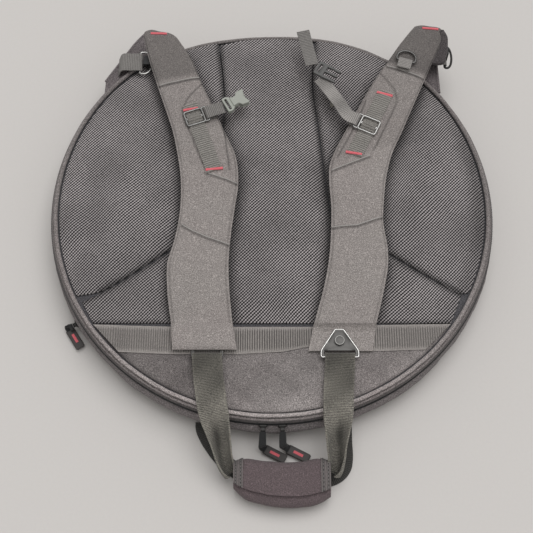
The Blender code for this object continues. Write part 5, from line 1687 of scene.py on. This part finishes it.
female_turn = radians(29)
heel = bar + along * (arch_reach + 0.0021) + up * loop_radius
heel_line = [(0.0, -0.0113), (0.0062, -0.0117), (0.0112, -0.0085)]
heel_line = eased(heel_line + mirrored(heel_line), 0.0014, 160)
heel_slot = eased(box(0.0028, 0.0060, -0.0088, 0.0088), 0.0010, 160)
heel_heights = (-0.0020, 0.0024, 0.0036, 0.0038, 0.0036, 0.0030, 0.0010, -0.0026, -0.0030)
base_steps = (0.0, 0.01, 0.08, 0.5, 0.92, 1.0, 1.0, 0.9, 0.1)
female = [between(started(heel_line, 0.0), started(heel_slot, 0.0028), base_steps, heel_heights)]
side_line = [(0.0100, -0.0072), (0.0135, -0.0062), (0.0182, -0.0062), (0.0215, -0.0106), (0.0300, -0.0117),
             (0.0328, -0.0102)]
for notch, low, high in ((0.0286, 0.0018, 0.0050), (0.0318, -0.0046, -0.0018)):
    shell_line = side_line + [(notch, 0.0)] + mirrored(side_line)
    female.append(block(eased(shell_line, 0.0011, 200), low, high, 0.0007))
wall = [(0.0225, 0.0082), (0.0318, 0.0088), (0.0310, 0.0112), (0.0225, 0.0105)]
for wall_line in (mirrored(wall), wall):
    female.append(block(eased(wall_line, 0.0007, 80), -0.0022, 0.0022, 0.0003))
neck = eased(box(0.0105, 0.0190, -0.0066, 0.0066), 0.0008, 80)
female.append(block(neck, -0.0030, 0.0030, 0.0003))
piece("female_clip", turned_skin(joined(*female), female_turn, heel), "left_chest", buckle_look,
      ("female_buckle",), crease=45)

bar, angle, down = slider_places["right"]
along = heading(angle)
square = -np.array([down[0], down[1], 0.0])
over = bar + along * tuck + up * loop_radius
finish_place = bar + np.array([-0.0484, 0.0639, loop_radius])
steps = np.array((0.35, 0.70, 1.0))[:, None]
run = over + (finish_place - over) * steps + up * np.array((0.0010, 0.0012, 0.0))[:, None]
path = np.concatenate([loop_over(bar, along), [over], run])
end_side = np.array([0.86, 0.50, 0.0])
straight = np.tile(square, (len(path) - len(run), 1))
sides = np.concatenate([straight, (1 - steps) * square + steps * end_side])
chest_steps = 140
sternum = webbing_run(path, sides, chest_width, chest_thickness, steps=chest_steps, cup=False)
# Painted shade in waves along the band, standing for the light on its twist; the band takes the lighter
# chest webbing, partly as painted light.
waves = 0.16 + 0.16 * np.sin(2 * pi * (2.3 * np.linspace(0, 1, chest_steps) + 0.1))
dark = np.repeat(waves, (len(sternum[0]) - 2) // chest_steps)
piece("right_chest_band", sternum, "right_chest", pale_chest_look, ("right_chest_webbing",),
      crease=60, dark=np.append(dark, (0.2, 0.2)))
returned = np.array([(0.0690, 0.1820, 0.0790), (0.0770, 0.1745, 0.0762), (0.0830, 0.1660, 0.0735),
                     (0.0862, 0.1560, 0.0715), (0.0856, 0.1450, 0.0700)])
returned_width = 0.0110
leaf = webbing_run(returned, (0.75, 0.45, 0.25), returned_width, chest_thickness, steps=60, cup=False)
piece("returned_chest_end", leaf, "right_chest", webbing_look, crease=60)

male_turn = radians(-31)
male_place = finish_place + np.array([-0.0040, 0.0160, 0.0037 - loop_radius])
base = [(0.0, -0.0108), (0.0130, -0.0110), (0.0138, -0.0085)]
base = eased(base + mirrored(base), 0.0014, 120)
slot = eased(box(0.0032, 0.0064, -0.0066, 0.0066), 0.0008, 120)
heights = (0.0010, 0.0036, 0.0043, 0.0044, 0.0043, 0.0038, 0.0010, 0.0002, 0.0002)
male = [between(started(base, 0.0), started(slot, 0.0032), base_steps, heights)]
prong = [(0.0120, -0.0108), (0.0330, -0.0100), (0.0330, -0.0075), (0.0290, -0.0068), (0.0240, -0.0075),
         (0.0120, -0.0070)]
guide = [(0.0120, -0.0018), (0.0310, -0.0013)]
for places in (prong, mirrored(prong), guide + [(0.0330, 0.0)] + mirrored(guide)):
    male.append(block(eased(places, 0.0008, 80), 0.0006, 0.0040, 0.0006))
piece("male_clip", turned_skin(joined(*male), male_turn, male_place), "right_chest",
      grey_nylon_look, ("male_buckle",), crease=45)

tail_start = finish_place + np.array([-0.0104, 0.0199, 0.0059 - loop_radius])
share = np.linspace(0, 1, 8)[:, None]
tail_length = 0.0535
tail_rise = 0.0045
path = tail_start + heading(radians(103)) * tail_length * share + up * tail_rise * share ** 1.5
tail = webbing_run(path, heading(radians(13)), chest_width, chest_thickness, steps=90, cup=False)
piece("loose_tail", tail, "chest_tail", chest_look, ("chest_tail",), crease=60)

# Zip sliders, pulls and tags
tag_height = 0.0055
tag_half = 0.0155
tag_width = 0.0125
tag_thickness = 0.0034
cord_thickness = 0.0022
cord_steps = 60
for name, degrees, radius, height, deep, knee, tag_from, tag_degrees in (
        ("main_left", -92.2, 0.2949, zip_line, 0.0091, 0.0150, (0.0150, -0.0190), -27),
        ("main_right", -87.6, 0.2949, zip_line, 0.0091, 0.0150, (0.0203, -0.0190), -27),
        ("pocket", -149.4, 0.2966, 0.0150, 0.0069, 0.0030, (0.0022, -0.0145), -57)):
    angle = radians(degrees)
    outline = eased([(-0.0052, -0.0030), (0.0, -0.0022), (0.0052, -0.0030), (0.0052, 0.0030), (0.0, 0.0030),
                     (-0.0052, 0.0030)], 0.0012, 72)
    rows = []
    for inward, out in (
            (0.82, 0.0), (1.0, 0.0006), (1.0, 0.30 * deep), (0.55, 0.42 * deep), (0.45, 0.80 * deep),
            (0.60, 0.90 * deep), (0.40, deep)):
        rows.append(np.insert(outline * inward, 0, radius + out, axis=1))
    body = surface(np.stack(rows), round_columns=True, capped=True)
    skin = turned_skin(body, angle, (0.0, 0.0, height))
    piece(name + "_zip_slider", skin, name + "_slider", black_metal_look, (name + "_slider",),
          crease=50)

    outward = heading(angle)
    along = heading(radians(tag_degrees))
    start = outward * (radius + deep + 0.0004) + up * height
    middle = outward * (radius + deep) + np.array([*tag_from, 0.0])
    middle[2] = tag_height
    near = middle - along * tag_half
    far = middle + along * tag_half
    out = start + outward * knee - up * (height - tag_height) * 0.2
    low = near - along * 0.0019 + up * 0.0034
    path = np.array([start, start + outward * 0.0016, out, out + (low - out) * 0.5, low,
                     near + along * 0.0038])
    widths = np.array((0.0080, 0.0090, 0.0100, 0.0100, 0.0095, 0.0095))
    spin = np.interp((0.0, 0.0, 0.2, 0.6, 1.0, 1.0), (0, 1),
                     (angle + pi / 2, radians(tag_degrees) + pi / 2))
    side = np.stack([np.cos(spin), np.sin(spin), 0 * spin], -1)
    line = through(path, cord_steps)
    at = np.linspace(0, len(path) - 1, cord_steps)
    side = read_rows(at, np.arange(len(path)), side)
    width = np.interp(at, np.arange(len(path)), widths)
    section = strip_section(width, np.full(cord_steps, cord_thickness), 7)
    cord = strand(line, side, section)
    line = np.linspace(near, far, 40)
    square = np.array([-along[1], along[0], 0.0])
    share = np.linspace(0, 1, 40)
    ease = np.minimum(1.0, 0.55 + 8 * np.minimum(share, 1 - share))
    section = strip_section(tag_width * ease ** 0.5, tag_thickness * ease)
    tag = strand(line, square, section, look=1)
    bar_line = np.linspace(middle - along * 0.0065, middle + along * 0.0065, 16) + up * 0.0017
    bar_skin = strand(bar_line, square, strip_section(0.0036, 0.0008, 5), look=2)
    piece(name + "_zip_pull", joined(cord, tag, bar_skin), name + "_pull",
          [zip_tape_look, tag_look, red_look], (name + "_pull",), crease=60)

# Floor, light and camera
reach = 6.0
lamp_strength = 1.65
lamp_spread = radians(50)
room_colour = (1.0, 0.99, 0.97, 1.0)
room_strength = 0.52
lamp_tilt = (radians(-14), radians(10), 0.0)
picture_width = 533
focal_pixels = 1085
camera_place = (-0.0071, -0.6313, 1.3615)
camera_tilt = radians(22.63)
floor = bpy.data.meshes.new("studio_floor")
floor.from_pydata([(x, y, 0.0) for y in (-reach, reach) for x in (-reach, reach)], [], [(0, 1, 3, 2)])
floor.materials.append(pale_floor("pale_floor"))
ground = bpy.data.objects.new("studio_floor", floor)
bpy.context.collection.objects.link(ground)
ground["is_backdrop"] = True

soft = bpy.data.lights.new("overhead_soft_light", "SUN")
soft.energy = lamp_strength
soft.angle = lamp_spread
lamp = bpy.data.objects.new("overhead_soft_light", soft)
lamp.rotation_euler = lamp_tilt
bpy.context.collection.objects.link(lamp)

world = bpy.data.worlds.new("pale_room")
world.use_nodes = True
background = world.node_tree.nodes["Background"]
background.inputs["Color"].default_value = room_colour
background.inputs["Strength"].default_value = room_strength
bpy.context.scene.world = world

lens = bpy.data.cameras.new("photo_camera")
lens.sensor_width = 36.0
lens.lens = focal_pixels / picture_width * lens.sensor_width
camera = bpy.data.objects.new("photo_camera", lens)
camera.location = camera_place
camera.rotation_euler = (camera_tilt, 0.0, 0.0)
bpy.context.collection.objects.link(camera)
bpy.context.scene.camera = camera
bpy.context.scene.view_settings.view_transform = "Standard"

low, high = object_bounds()
